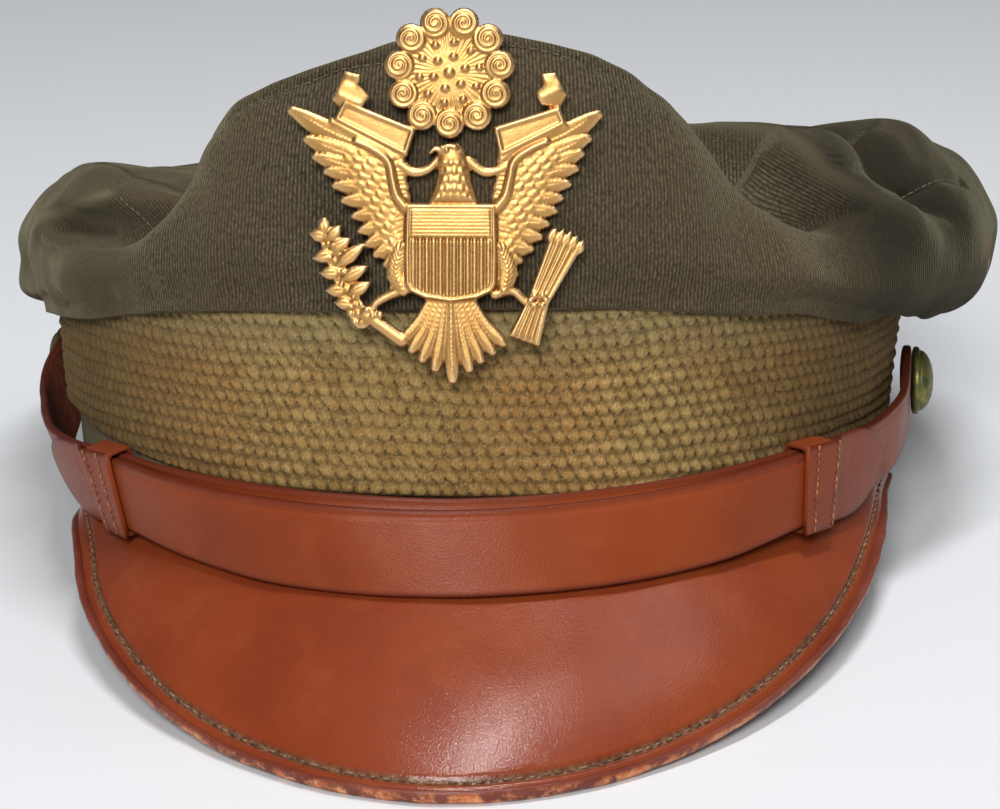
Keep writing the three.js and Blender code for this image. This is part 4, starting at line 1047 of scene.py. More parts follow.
def visor_row(u):
    return spline(EDGE_KNOTS, VISOR_EDGE, np.asarray(u, float) * (len(VISOR_EDGE) - 1))


def visor_edge_point(u):
    row = visor_row(u)
    return polar(np.radians(row[..., 0]), row[..., 1], row[..., 2])


def visor_root_point(u):
    row = visor_row(u)
    angle, z = np.radians(row[..., 0]), row[..., 3]
    aside = np.abs(2 * np.asarray(u) - 1)
    out = band_out(angle, z) - BRAID_THICKNESS + VISOR_THICKNESS * mix(*ROOT_OUT, smooth(aside))
    return polar(angle, out, z)


def visor_frame(u):
    root = visor_root_point(u)
    ruling = visor_edge_point(u) - root
    length = np.linalg.norm(ruling, axis=-1, keepdims=True)
    ruling = ruling / length
    before, after = np.maximum(0, u - 0.01), np.minimum(1, u + 0.01)
    tangent = unit(visor_edge_point(after) - visor_edge_point(before))
    square = np.sqrt(1 - dot(ruling, tangent) ** 2)
    reach = np.maximum(0.4, length - (BEAD["half"] - BEAD["tuck"] - BEAD["shift"]) / square)
    across = visor_root_point(after) + visor_edge_point(after)
    across = across - visor_root_point(before) - visor_edge_point(before)
    normal = unit(np.cross(ruling, across))
    return root, ruling, reach, normal, square


def visor_points(u, v, depth, shaped=True):
    """Points over the visor: u from its left corner to its right, v from root to edge."""
    root, ruling, reach, normal, square = (part[:, None] for part in visor_frame(u))
    v = np.atleast_2d(v)[..., None]
    bow = VISOR_BOW * 4 * v * (1 - v) * smooth(reach / VISOR_FORM["bow"])
    lift = mix(0, EDGE_RADIUS * VISOR_FORM["edge_lift"], v)
    inside = reach * (1 - v) * square
    fade = smooth(reach / VISOR_FORM["channel"])
    bend = EDGE_BEND["drop"] * clamp01(1 - inside / EDGE_BEND["reach"]) ** 2 * fade
    points = root + ruling * reach * v + normal * (bow + lift - depth - bend)
    groove = bell(inside - CHANNEL["inside"], CHANNEL["half"], 4) * fade
    if shaped:
        swell = VISOR_FORM["swell"] * ripple(points, 30.0, 21)[..., None] * smooth(inside / 6)
        ragged = VISOR_FORM["ragged"] * ripple(points, 1.3, 22)[..., None] * groove
        points = points + normal * (swell + ragged - CHANNEL["depth"] * groove)
    return points, groove[..., 0]


def visor():
    u = np.linspace(0, 1, VISOR_GRID["columns"])
    v = 1 - np.linspace(1, 0, VISOR_GRID["rows"]) ** 2.0
    v_low = np.linspace(1, 0, VISOR_GRID["low_rows"])
    top, groove = visor_points(u, v, 0.0)
    low, _ = visor_points(u, v_low, VISOR_THICKNESS - 1.3 * v_low[:, None] ** 3, False)
    marks = {"groove": np.pad(groove, ((0, 0), (0, len(v_low))))}
    parts = closed(np.concatenate([top, low], 1), None, marks)
    paint = leather_paint("russet_leather").material
    piece("visor_leather", parts, "visor", "russet_leather", paint)


def visor_edge():
    u = np.linspace(0, 1, VISOR_GRID["columns"])
    centre = visor_edge_point(u)
    ahead, behind = np.minimum(1, u + 0.01), np.maximum(0, u - 0.01)
    tangent = unit(visor_edge_point(ahead) - visor_edge_point(behind))
    side = centre - visor_root_point(u)
    side = unit(side - tangent * dot(side, tangent))
    up = np.cross(tangent, side)
    turn = circle(VISOR_GRID["round"])[None, :, None]
    centre = (centre + side * BEAD["shift"])[:, None]
    half, rise = BEAD["half"] * np.cos(turn), BEAD["rise"] * np.sin(turn)
    points = centre + side[:, None] * half + up[:, None] * rise
    points = points + 0.04 * ripple(points, 7.0, 31)[..., None] * (points - centre)
    ridge = np.broadcast_to(smooth(0.5 + 0.9 * np.cos(turn[..., 0] - 0.7)), points.shape[:2])
    parts = closed(points, None, {"ridge": ridge})
    piece("visor_rolled_edge", parts, "visor_edge", "edge_leather", edge_paint())


# Stitches

CROWN_STITCH = {"pitch": 2.0, "length": 1.5, "radius": 0.16}
VISOR_STITCH = {"pitch": 2.3, "length": 1.7, "radius": 0.24}
LOOP_STITCH = {"length": 1.05, "radius": 0.19}
# Girth of a stitch, as a share of its radius, along its half lengths.
STITCH_PLACES = np.array([-1.0, -0.86, -0.5, 0.0, 0.5, 0.86, 1.0])
STITCH_GIRTH = np.array([0.25, 0.75, 1.0, 1.0, 1.0, 0.75, 0.25])
STITCH_DIP = -0.5 * STITCH_PLACES ** 4


def stitch_mesh(middles, ways, normals, length, radius):
    """Small rounded stitches: middles, directions and surface normals, in millimetres."""
    turn = circle(6)
    along, dip = STITCH_PLACES * length / 2, STITCH_DIP * radius
    girth = STITCH_GIRTH[:, None, None] * radius
    parts = []
    for middle, way, normal in zip(middles, unit(ways), unit(normals)):
        side = np.cross(way, normal)
        spine = middle + np.outer(along, way) + np.outer(dip, normal)
        ring = np.outer(np.cos(turn), side) + np.outer(np.sin(turn), normal)
        parts += closed(spine[:, None] + girth * ring[None])
    return parts


def stitched(points, normals, stitch, reach):
    """A row of stitches along a line of points; reach is how far off its way is read."""
    steps = travelled(points)
    index = np.arange(len(points))
    stops = np.arange(stitch["pitch"] / 2, steps[-1], stitch["pitch"])
    where = np.interp(stops, steps, index)

    def at(values, place):
        return np.stack([np.interp(place, index, values[:, k]) for k in range(3)], -1)

    ahead = at(points, np.minimum(where + reach, len(points) - 1))
    behind = at(points, np.maximum(where - reach, 0))
    spots = at(points, where), ahead - behind, at(normals, where)
    return stitch_mesh(*spots, stitch["length"], stitch["radius"])


def visor_stitches():
    u = np.linspace(0.015, 0.985, 900)
    _, _, reach, normal, square = visor_frame(u)
    v = 1 - CHANNEL["inside"] / (reach * square)
    keep = v[:, 0] > 0.25
    line = visor_points(u, v, 0.0)[0][:, 0] + 0.1 * normal
    parts = stitched(line[keep], normal[keep], VISOR_STITCH, 2)
    paint = thread_paint("visor_thread", (72, 50, 36), (130, 102, 80))
    piece("visor_stitches", parts, None, "russet_leather", paint, gap=THREAD_GAP)


# Chin strap

def strap_row(degrees):
    return spline(STRAP_PATH[:, 0], STRAP_PATH[:, 1:], degrees)


def strap_middle(degrees):
    row = strap_row(degrees)
    angle = np.radians(degrees)
    return polar(angle, band_out(angle, row[:, 1]) + row[:, 0], row[:, 1])


def strap_frame(degrees):
    """Middle, outward way and way up across the strap at each angle."""
    middle = strap_middle(degrees)
    along = unit(strap_middle(degrees + 0.5) - strap_middle(degrees - 0.5))
    lean = np.radians(strap_row(degrees)[:, 2])
    up = polar(np.radians(degrees), -np.sin(lean), np.cos(lean))
    up = unit(up - along * dot(up, along))
    outward = np.cross(along, up)
    return middle, outward, up


def strap_half(degrees):
    return strap_row(degrees)[:, 3]


def slab(low, high, out0, out1, bevel=0.45, face_steps=26):
    """Section of a leather layer at each ring: outer face from foot to top, then back down."""
    turn = np.linspace(0, np.pi / 2, 4)
    along = np.linspace(0, 1, face_steps)[1:-1]
    sides = np.broadcast_arrays(low, high, out0, out1)
    low, high, out0, out1 = (np.asarray(side, float)[:, None] for side in sides)
    corner = np.minimum(bevel, (out1 - out0) * 0.49)
    lo, hi, o0, o1 = low + corner, high - corner, out0 + corner, out1 - corner
    pieces = [
        (o1 + corner * np.sin(turn), lo - corner * np.cos(turn)),
        (out1 + 0 * along, mix(lo, hi, along)),
        (o1 + corner * np.cos(turn), hi + corner * np.sin(turn)),
        (o0 - corner * np.sin(turn), hi + corner * np.cos(turn)),
        (out0 + 0 * along[::3], mix(hi, lo, along[::3])),
        (o0 - corner * np.cos(turn), lo - corner * np.sin(turn)),
    ]
    out, across = (np.concatenate(part, 1) for part in zip(*pieces))
    inner = np.zeros(out.shape[1], bool)
    inner[4 + len(along) + 4 + 2: out.shape[1] - 2] = True
    return out, across, inner


def rim_of(across, out):
    """1 at the cut edges of a layer, fading over its faces."""
    low, high = across.min(1, keepdims=True), across.max(1, keepdims=True)
    inside = np.minimum(across - low, high - across)
    return bell(inside, 0.7) + 0 * out


def emboss(across, high, depth):
    """Depth of a creased line that runs below the top edge."""
    line = high[:, None] - EMBOSS["inset"]
    return depth * bell(across - line, EMBOSS["half"])


def swept(degrees, out, across):
    middle, outward, up = strap_frame(degrees)
    return middle[:, None] + outward[:, None] * out[..., None] + up[:, None] * across[..., None]


def strap_piece(name, degrees, section, node, paints):
    out, across, inner = section
    points = swept(degrees, out, across)
    sideways = unit(points * np.array([1, 1, 0]))
    points = points + STRAP["wander"] * ripple(points, 16.0, len(name))[..., None] * sideways
    marks = {"flesh": np.broadcast_to(inner, points.shape[:2]), "rim": rim_of(across, out)}
    made = weld(joined(name, closed(points, None, marks)), WELD_GAP)
    for paint in paints:
        made.data.materials.append(paint)
    if len(paints) > 1:
        flesh = made.data.attributes["flesh"].data
        for polygon in made.data.polygons:
            polygon.material_index = int(all(flesh[i].value > 0.5 for i in polygon.vertices))
    dressed(made, node, "russet_leather")


HALF_THICK = STRAP["thickness"] / 2
FRONT_IN = HALF_THICK + STRAP["layer_gap"]
FRONT_OUT = FRONT_IN + STRAP["thickness"]


def front_drop(degrees):
    t = clamp01(np.abs(degrees) / 38)
    return mix(FRONT_LAYER["drop_middle"], FRONT_LAYER["drop_ends"], t * t)


def strap_long(paints):
    first, last = STRAP_PATH[0, 0], STRAP_PATH[-1, 0]
    ends = np.linspace(0, 1, 22) ** 2 * STRAP["end_round"]
    middle = np.arange(first + 6.4, last - 6.2, 0.45)
    degrees = np.concatenate([first + ends, middle, last - ends[::-1]])
    to_end = np.minimum(degrees - first, last - degrees) / STRAP["end_round"]
    half = strap_half(degrees) * np.sqrt(np.maximum(0.02, 1 - (1 - clamp01(to_end)) ** 2))
    under = smooth((degrees + 47) / 4) * smooth((45 - degrees) / 4)
    out, across, inner = slab(-half + STRAP["hidden"] * under, half, -HALF_THICK, HALF_THICK)
    out = out - emboss(across, half, EMBOSS["rear"]) * (out > 0)
    strap_piece("rear_strap", degrees, (out, across, inner), "chin_strap_long", paints)


def strap_short(paint):
    degrees = np.arange(FRONT_LAYER["from"], FRONT_LAYER["to"] + 0.2, 0.4)
    drop = front_drop(degrees)
    half = strap_half(degrees)
    out, across, inner = slab(-half - drop, half - drop, FRONT_IN, FRONT_OUT, 0.55, 32)
    out = out - emboss(across, half - drop, EMBOSS["front"]) * (out > FRONT_IN + HALF_THICK)
    strap_piece("front_strap", degrees, (out, across, inner), "chin_strap_short", [paint])


def loop_inner(degrees):
    half = strap_half(degrees) + FIT
    return -HALF_THICK - FIT, FRONT_OUT + FIT, -half - FRONT_LAYER["drop_ends"], half


def loop_ring(row):
    """Ring of leather round both layers: a thin slab swept round a rounded rectangle."""
    def squared(wave, power):
        return np.abs(wave) ** power * np.sign(wave)

    q = circle(26)
    degrees = mix(row["lip"], row["ring_end"], 0.5 - 0.5 * squared(np.cos(q), LOOP_POWERS["cut"]))
    raise_by = LOOP["thickness"] * (0.5 + 0.5 * squared(np.sin(q), LOOP_POWERS["round"]))
    phi = circle(72)[:, None]
    back, front, low, high = loop_inner(degrees)
    front = front - LOOP["sunk"]
    box_out, box_across = (squared(wave(phi), LOOP_POWERS["corner"]) for wave in (np.cos, np.sin))
    out = (front + back) / 2 + box_out * ((front - back) / 2 + raise_by)
    across = (high + low) / 2 + box_across * ((high - low) / 2 + raise_by)
    middle, outward, up = strap_frame(degrees)
    points = middle[None] + outward[None] * out[..., None] + up[None] * across[..., None]
    cut = clamp01(np.abs(np.cos(q)) * 1.6 - 0.9)[None, :] + 0 * out
    return strip(tip(points), marks={"rim": cut}, ring=True, wrap=True)


def loop_face(row, degrees):
    """Inner side of the loop's outer face, which steps down past the ring, and how far past."""
    beyond = (row["ring_end"] - degrees) * -np.sign(row["tip"] - row["lip"])
    _, front, low, high = loop_inner(degrees)
    return beyond, mix(front, HALF_THICK + FIT, smooth(beyond / LOOP["slope"])), low, high


def loop_tab(row):
    """The loop's outer face, running on past the ring as a round-ended tab."""
    t, span = LOOP["thickness"], abs(row["tip"] - row["lip"])
    reach = abs(row["tip"] - row["ring_end"])
    end = span - 2.0 * (1 - np.linspace(0, 1, 16)) ** 2
    way = np.sign(row["tip"] - row["lip"])
    degrees = row["lip"] + way * np.concatenate([np.arange(0, span - 2.0, 0.25), end])
    beyond, out0, low, high = loop_face(row, degrees)
    out0 = out0 + LOOP["lift"] * clamp01(beyond / reach) ** 2
    low, high = low - t, high + t
    tip_along = 1 - clamp01((reach - beyond) / LOOP["tip_length"])
    half = (high - low) / 2 * np.sqrt(np.maximum(0.02, 1 - tip_along ** 2))
    middle = (high + low) / 2
    out, across, _ = slab(middle - half, middle + half, out0, out0 + t, 0.42, 24)
    return closed(swept(degrees, out, across), None, {"rim": rim_of(across, out)})


def loop_stitches(row):
    parts = []
    for start in row["stitches"]:
        places = np.linspace(-0.88, 0.94, 12)
        degrees = np.full(len(places), start)
        _, out, low, high = loop_face(row, degrees)
        out = out + LOOP["thickness"] + 0.12
        across = (high + low) / 2 + places * ((high - low) / 2 + LOOP["thickness"])
        middle, outward, up = strap_frame(degrees)
        points = middle + outward * out[:, None] + up * across[:, None]
        parts += stitch_mesh(points, up, outward, LOOP_STITCH["length"], LOOP_STITCH["radius"])
    return parts


def strap_loop(name, row, paint):
    parts = [loop_ring(row), *loop_tab(row)]
    piece(name.replace("strap_loop", "keeper"), parts, name, "russet_leather", paint)
    thread = thread_paint(name + "_thread", (112, 62, 38), (164, 108, 74))
    stitches = loop_stitches(row)
    piece(name + "_stitches", stitches, None, "russet_leather", thread, gap=THREAD_GAP)


# Buttons

def button(name, degrees, paint):
    """Domed button with a rolled rim, lathed about the strap's outward way."""
    middle, outward, up = (part[0] for part in strap_frame(np.array([degrees])))
    radius, height, rim = BUTTON["radius"], BUTTON["height"], BUTTON["rim"]
    s = np.linspace(0, 1, 30) * np.pi / 2
    face = np.stack([radius * 0.9 * np.cos(s), rim + 0.35 + (height - rim - 0.35) * np.sin(s)], -1)
    edge = np.array([
        (0.0, 0.0), (radius - 1.0, 0.0), (radius - 0.2, 0.25), (radius, 0.75),
        (radius - 0.1, rim + 0.1), (radius - 0.45, rim + 0.4), (radius * 0.915, rim + 0.3),
    ])
    profile = np.concatenate([edge, face])
    profile[:, 0] = np.maximum(profile[:, 0], 1e-3)
    turn = circle(64)[:, None, None]
    round_way = np.cos(turn) * np.cross(outward, up) + np.sin(turn) * up
    seat = middle + outward * (HALF_THICK + FIT)
    points = seat + round_way * profile[None, :, :1] + outward * profile[None, :, 1:]
    parts = [strip(tip(points), ring=True)]
    piece(name.replace("button", "side_button"), parts, name, "old_brass", paint, gap=BUTTON_GAP)


def chin_strap():
    russet = leather_paint("strap_leather").material
    strap_long([russet, flesh_paint()])
    strap_short(russet)
    keeper = leather_paint("keeper_leather").material
    for name, row in LOOPS.items():
        strap_loop(name, row, keeper)
    brass = brass_paint()
    for name, degrees in BUTTONS.items():
        button(name, degrees, brass)


# Badge: a height field laid up from overlapping shapes, in millimetres from the shield's middle

BADGE = {"x": -0.7, "y": -107.1, "z": 52.3, "lean": 4.0, "bend": 170.0}
RELIEF_STEP = 0.21
WING_TIPS = {
    -1: [(28.6, 25.0), (25.9, 19.9), (24.4, 16.8), (22.3, 14.2), (20.8, 11.7), (19.2, 9.0), (17.3, 6.2),
         (16.2, 3.6), (15.0, 1.2), (13.4, -0.6), (11.6, -2.4), (11.0, -4.6), (10.4, -6.6)],
    1: [(26.1, 24.4), (24.3, 20.2), (23.1, 17.5), (22.1, 14.8), (20.8, 12.1), (19.4, 9.6), (18.4, 7.3),
        (17.0, 4.9), (15.8, 2.6), (14.2, 0.4), (12.2, -1.6), (11.4, -4.0), (10.6, -6.2)],
}
# Half widths of the outermost feathers at their root and end; the last row serves the rest.
FEATHER_HALVES = ((2.7, 1.7), (2.4, 1.55), (2.1, 1.45), (1.8, 1.4))
WING_ROOTS = [(10.6, 16.6), (10.2, 15.3), (9.8, 14.0), (9.4, 12.6), (9.0, 11.0), (8.7, 9.3), (8.4, 7.6),
              (8.1, 5.8), (7.9, 4.0), (7.7, 2.0), (7.5, 0.0), (7.3, -2.2), (7.2, -4.2)]
COVERTS = [
    (10.2, 16.6), (16.6, 18.9), (20.4, 18.4), (18.6, 13.4), (16.0, 8.0), (13.4, 2.6),
    (11.0, -1.6), (8.6, -3.6), (8.2, -2.0), (8.6, 8.0),
]
WING_ARM = [(16.4, 19.0), (13.4, 17.6), (10.9, 15.6), (10.1, 12.4), (9.4, 9.6), (7.9, 7.6)]
SHIELD = [
    (-7.9, 8.4), (7.9, 8.4), (8.1, 0.0), (8.0, -5.6), (7.2, -7.0), (4.6, -8.2), (0.0, -8.9),
    (-4.6, -8.2), (-7.2, -7.0), (-8.0, -5.6), (-8.1, 0.0),
]
BANNERS = [
    [(-18.6, 26.2), (-6.0, 21.2), (-7.6, 16.2), (-20.4, 22.6)],
    [(7.2, 21.5), (18.7, 25.1), (19.9, 21.9), (8.4, 16.2)],
]
UNDER_BANNERS = [
    [(-20.6, 22.3), (-14.2, 18.9), (-10.0, 16.2)],
    [(8.8, 16.0), (12.2, 18.3), (19.6, 21.6)],
]
CURLED_ENDS = [
    [(-20.8, 26.0), (-18.5, 31.1), (-15.6, 30.4), (-15.9, 28.7), (-13.9, 26.6), (-15.3, 24.8),
     (-18.4, 23.6)],
    [(20.0, 27.0), (17.9, 30.9), (15.4, 30.6), (15.7, 28.9), (14.4, 27.3), (15.3, 25.2), (18.6, 24.4)],
]
SWAGS = [
    [(-8.8, 15.0), (-6.6, 13.7), (-4.0, 14.2), (-2.0, 16.2)],
    [(3.0, 15.6), (5.6, 13.8), (8.0, 14.0), (9.8, 14.8)],
]
NECK = [(-4.2, 8.0), (-3.0, 10.6), (-2.3, 13.4), (-2.5, 15.6), (-2.3, 17.2), (-0.9, 18.6), (0.9, 18.8),
        (2.4, 17.4), (3.1, 15.2), (3.6, 12.0), (4.9, 8.0)]
ROSETTE = {"x": -0.3, "y": 30.8, "core": 8.4, "ring": 8.8, "curls": 11, "curl": 2.6}
# Pellets of the round field: distance of their ring from its middle, count and radius.
PELLETS = ((0.0, 1, 0.85), (2.8, 6, 0.62), (5.2, 10, 0.55))
TAIL_TIPS = [(-8.4, -15.8), (-6.9, -17.6), (-5.0, -19.3), (-2.7, -20.9), (0.3, -22.9), (3.2, -21.0),
             (5.2, -19.4), (7.3, -17.9), (9.2, -16.4)]
# The tail's feathers: root and spread of the roots, shares of the way of their bend and end.
TAIL = {"root": -7.6, "spread": 3.0, "bend": (0.42, 0.55), "end": 0.97}
SPRIG = [(-15.6, -11.8), (-17.5, -8.4), (-19.4, -3.8), (-21.3, 1.1), (-22.2, 4.6)]
# Leaves of the sprig: place of the tip, and share of the way along the stalk of the root.
LEAVES = [
    (-22.6, 5.4, 0.88), (-19.1, 4.4, 0.80), (-24.8, 3.0, 0.84), (-17.4, 2.2, 0.70),
    (-14.9, 1.4, 0.56), (-24.2, -1.4, 0.66), (-14.4, -2.6, 0.44), (-23.0, -3.9, 0.50),
    (-13.9, -5.4, 0.30), (-22.0, -6.9, 0.34), (-20.4, -9.0, 0.20),
]
STEM = [(-15.0, -11.0), (-13.2, -12.2), (-10.6, -14.0), (-8.6, -15.4)]
LEGS = [
    [(-7.4, -6.4), (-10.6, -7.6), (-13.2, -9.2), (-13.9, -11.4)],
    [(7.6, -7.4), (10.6, -6.8), (13.0, -8.8)],
]
THIGHS = [[(-8.6, 0.4), (-9.6, -3.4), (-8.2, -6.8)], [(8.6, 0.4), (9.8, -3.0), (9.2, -6.6)]]
ARROWS = {
    "foot": (12.6, -15.6), "knot": (15.2, -8.4), "head": (20.0, 2.0), "half": (2.9, 1.9, 3.0),
    "count": 5, "beads": 6,
}
BEAK = [(-1.6, 17.4), (-2.8, 17.7), (-3.6, 17.0)]
BROW = [(-1.6, 18.0), (-0.4, 18.3), (0.8, 18.0)]
# Rounded cords of metal: half width, height of the foot, rise, taper and paths.
TUBES = [
    (0.6, 1.2, 1.1, 1.7, [[(hand * x, y) for x, y in WING_ARM] for hand in (-1, 1)]),
    (1.0, 0.95, 0.75, 0.75, SWAGS),
    (0.85, 0.95, 0.8, 1.0, UNDER_BANNERS),
    (0.9, 0.95, 0.8, 0.8, LEGS),
    (1.05, 1.0, 0.8, 1.2, [STEM]),
    (0.75, 1.3, 0.95, 0.45, [BEAK]),
    (0.32, 2.1, 0.35, 1.0, [BROW]),
]
# Single beads, the eye first: place, radius, height of the foot and rise.
BEADS = [
    (-0.7, 17.5, 0.36, 2.3, 0.35),
    (-13.6, -11.2, 0.75, 1.2, 0.8),
    (-14.6, -10.2, 0.75, 1.2, 0.8),
    (-12.4, -11.0, 0.75, 1.2, 0.8),
]


class Relief:
    """Height and outline of the badge, over a grid; the order of laying does not matter."""

    def __init__(self):
        x, y = np.arange(-31.0, 29.0, RELIEF_STEP), np.arange(-25.0, 44.0, RELIEF_STEP)
        self.x, self.y = np.meshgrid(x, y, indexing="ij")
        self.height = np.zeros_like(self.x)
        self.outside = np.full_like(self.x, 9.0)

    def lay(self, distance, height):
        """Adds a shape by its distance outside and its height; the higher metal shows."""
        self.height = np.where(distance < 0, np.maximum(self.height, height), self.height)
        self.outside = np.minimum(self.outside, distance)

    def beside(self, p, d):
        """Share of the way along a line from p, and the offset from its nearest point."""
        t = clamp01(((self.x - p[0]) * d[0] + (self.y - p[1]) * d[1]) / (d @ d))
        return t, self.x - p[0] - t * d[0], self.y - p[1] - t * d[1]

    def trail(self, path, smoothed=True):
        """Distance from a curve, share of the way along it and offset to its left."""
        path = curve(path, 6 * len(path)) if smoothed else np.array(path, float)
        nearest = np.full_like(self.x, np.inf)
        share, side = np.zeros_like(self.x), np.zeros_like(self.x)
        for k, (p, q) in enumerate(zip(path, path[1:])):
            d = q - p
            t, gx, gy = self.beside(p, d)
            away = np.hypot(gx, gy)
            closer = away < nearest
            nearest = np.where(closer, away, nearest)
            share = np.where(closer, (k + t) / (len(path) - 1), share)
            side = np.where(closer, (d[0] * gy - d[1] * gx) / np.sqrt(d @ d), side)
        return nearest, share, side

    def polygon(self, corners):
        """Distance outside a closed outline, negative inside."""
        corners = np.array(corners, float)
        nearest, turned = np.full_like(self.x, np.inf), np.zeros(self.x.shape, bool)
        for p, q in zip(corners, np.roll(corners, -1, axis=0)):
            d = q - p
            nearest = np.minimum(nearest, np.hypot(*self.beside(p, d)[1:]))
            crosses = (p[1] > self.y) != (q[1] > self.y)
            turned ^= crosses & (self.x < p[0] + (self.y - p[1]) * d[0] / (d[1] if d[1] else 1e-9))
        return np.where(turned, -nearest, nearest)

    def feather(self, path, root, end, base, rise=0.5, lean=0.0, barbs=0.07):
        """A vane with a raised shaft and fine barbs; lean raises one of its sides."""
        away, share, side = self.trail(path)
        half = mix(root, end, share) * (1 - 0.45 * share ** 6)
        distance = away - half
        length = np.linalg.norm(np.array(path[-1]) - np.array(path[0]))
        across = side / half
        height = base + rise * dome(distance, half * 0.8) + lean * across
        height += 0.16 * bell(side, 0.17) * smooth((1 - share) * 4)
        height += barbs * np.sin((share * length * 0.8 + np.abs(side)) * 2 * np.pi / 0.62)
        self.lay(distance, height)

    def tube(self, path, half, base, rise, taper):
        away, share, _ = self.trail(path)
        half = mix(half, half * taper, share)
        self.lay(away - half, base + rise * dome(away - half, half))

    def leaf(self, start, end, half, base, rise):
        away, share, side = self.trail([start, end], False)
        width = half * np.sin(np.pi * np.clip(share, 0.04, 0.97) ** 0.8) ** 0.8
        height = base + rise * dome(away - width, half) - 0.14 * bell(side, 0.16)
        self.lay(away - width, height)

    def bead(self, x, y, radius, base, rise):
        distance = np.hypot(self.x - x, self.y - y) - radius
        self.lay(distance, base + rise * dome(distance, radius))


def relief_cords(relief):
    """The rounded cords and single beads."""
    for half, foot, rise, taper, paths in TUBES:
        for path in paths:
            relief.tube(path, half, foot, rise, taper)
    for bead in BEADS:
        relief.bead(*bead)


def relief_wings(relief):
    """Long feathers, the scaled coverts over their roots, and the thighs."""
    for hand in (-1, 1):
        for k, ((x0, y0), (x1, y1)) in enumerate(zip(WING_ROOTS, WING_TIPS[hand])):
            sag = 0.9 if k < 3 else 0.4
            root, end = FEATHER_HALVES[min(k, 3)]
            middle = (hand * ((x0 + x1) / 2 + 0.3), (y0 + y1) / 2 - sag)
            path = [(hand * x0, y0), middle, (hand * x1 * 0.965, y1 * 0.965)]
            relief.feather(path, root, end, 0.95, 0.5, lean=0.3 * hand)
        region = relief.polygon([(hand * x, y) for x, y in COVERTS])
        along = hand * relief.x * 0.88 + relief.y * 0.47
        across = -hand * relief.x * 0.47 + relief.y * 0.88
        waved = 0.35 * np.sin(relief.x * 1.9 + relief.y * 2.7)
        lumps, _ = scales(across / 1.4 + waved * 0.2, along / 2.0 + waved * 0.3)
        relief.lay(region, 1.3 + 0.36 * lumps * smooth(-region / 1.2) + 0.2 * smooth(-region / 3))
    for path in THIGHS:
        relief.feather(path, 1.6, 1.9, 1.1, 0.8, barbs=0.14)


def relief_shield(relief):
    """A fluted field under a lined chief, in a raised frame."""
    distance = relief.polygon(SHIELD)
    field = 1.75 + 0.16 * dome(distance, 5.0)
    flutes = np.abs(np.sin(relief.x * np.pi / 1.18)) ** 0.7
    lines = np.abs(np.sin(relief.y * np.pi / 0.62))
    chief = smooth((relief.y - 2.35) / 0.2)
    field = field + mix(0.55 * flutes, 0.42 + 0.16 * lines, chief)
    field = field - 0.3 * bell(relief.y - 2.3, 0.25)
    frame_bar = 0.75 * bell(distance + 0.55, 0.5)
    inner = smooth((-distance - 0.9) / 0.4)
    height = 1.75 + inner * (field - 1.75) + frame_bar
    relief.lay(distance, mix(1.2, height, dome(distance, 0.5)))


def relief_head(relief):
    """The neck's feathers and the bare head."""
    distance = relief.polygon(NECK)
    lumps, _ = scales(relief.x / 1.25, -relief.y / 1.5 + 40)
    bare = smooth((relief.y - 15.4) / 1.2)
    swell = 1.25 * dome(distance, 3.0)
    relief.lay(distance, 1.1 + swell + 0.45 * lumps * (1 - bare) * smooth(-distance / 0.8))


def relief_banners(relief):
    """The blank ribbons and their curled ends."""
    for corners, end in zip(BANNERS, CURLED_ENDS):
        distance = relief.polygon(corners)
        rim = 0.42 * bell(distance + 0.5, 0.32)
        relief.lay(distance, 1.5 + 0.2 * dome(distance, 2.4) + rim)
        distance = relief.polygon(end)
        x, y = end[0]
        fold = np.sin((relief.y - y) * 1.0 + (relief.x - x) * 0.45 * np.sign(-x))
        relief.lay(distance, 1.05 + 0.55 * dome(distance, 1.2) + 0.42 * fold)


def relief_rosette(relief):
    """The round field of rays and pellets in its ring of curls."""
    dx, dy = relief.x - ROSETTE["x"], relief.y - ROSETTE["y"]
    out, turn = np.hypot(dx, dy), np.arctan2(dy, dx)
    distance = out - ROSETTE["core"]
    rays = 0.1 * np.cos(turn * 44) * smooth((out - 1.6) / 2)
    relief.lay(distance, 1.25 + 0.3 * dome(distance, 8.0) + rays)
    for ring_radius, count, radius in PELLETS:
        for k in range(count):
            a = 2 * np.pi * (k + 0.25) / count
            x, y = ROSETTE["x"] + ring_radius * np.cos(a), ROSETTE["y"] + ring_radius * np.sin(a)
            relief.bead(x, y, radius, 1.5, 0.6)
    for k in range(ROSETTE["curls"]):
        a = -np.pi / 2 + 2 * np.pi * k / ROSETTE["curls"]
        cx, cy = ROSETTE["x"] + ROSETTE["ring"] * np.cos(a), ROSETTE["y"] + ROSETTE["ring"] * np.sin(a)
        gx, gy = relief.x - cx, relief.y - cy
        r = np.hypot(gx, gy)
        distance = r - ROSETTE["curl"]
        hand = 1 if k % 2 else -1
        coil = np.cos(2 * np.pi * r / 0.92 - hand * np.arctan2(gy, gx) - a)
        coil = coil * smooth(r / 0.7) * smooth(-distance / 0.35)
        relief.lay(distance, 1.45 + 0.75 * dome(distance, 2.2) + 0.2 * coil)


def relief_tail(relief):
    """Feathers that spread from below the shield, the middle one on top."""
    half_count, root = len(TAIL_TIPS) // 2, TAIL["root"]
    for k, (x1, y1) in enumerate(TAIL_TIPS):
        off = k - half_count
        x0 = TAIL["spread"] * off / half_count
        middle = (mix(x0, x1, TAIL["bend"][0]), mix(root, y1, TAIL["bend"][1]))
        path = [(x0, root), middle, (x1 * TAIL["end"], y1 * TAIL["end"])]
        centred = 0.1 * (half_count - abs(off))
        relief.feather(path, 0.95, 1.5, 0.95 + centred, 0.6, lean=0.2 * np.sign(off), barbs=0.05)


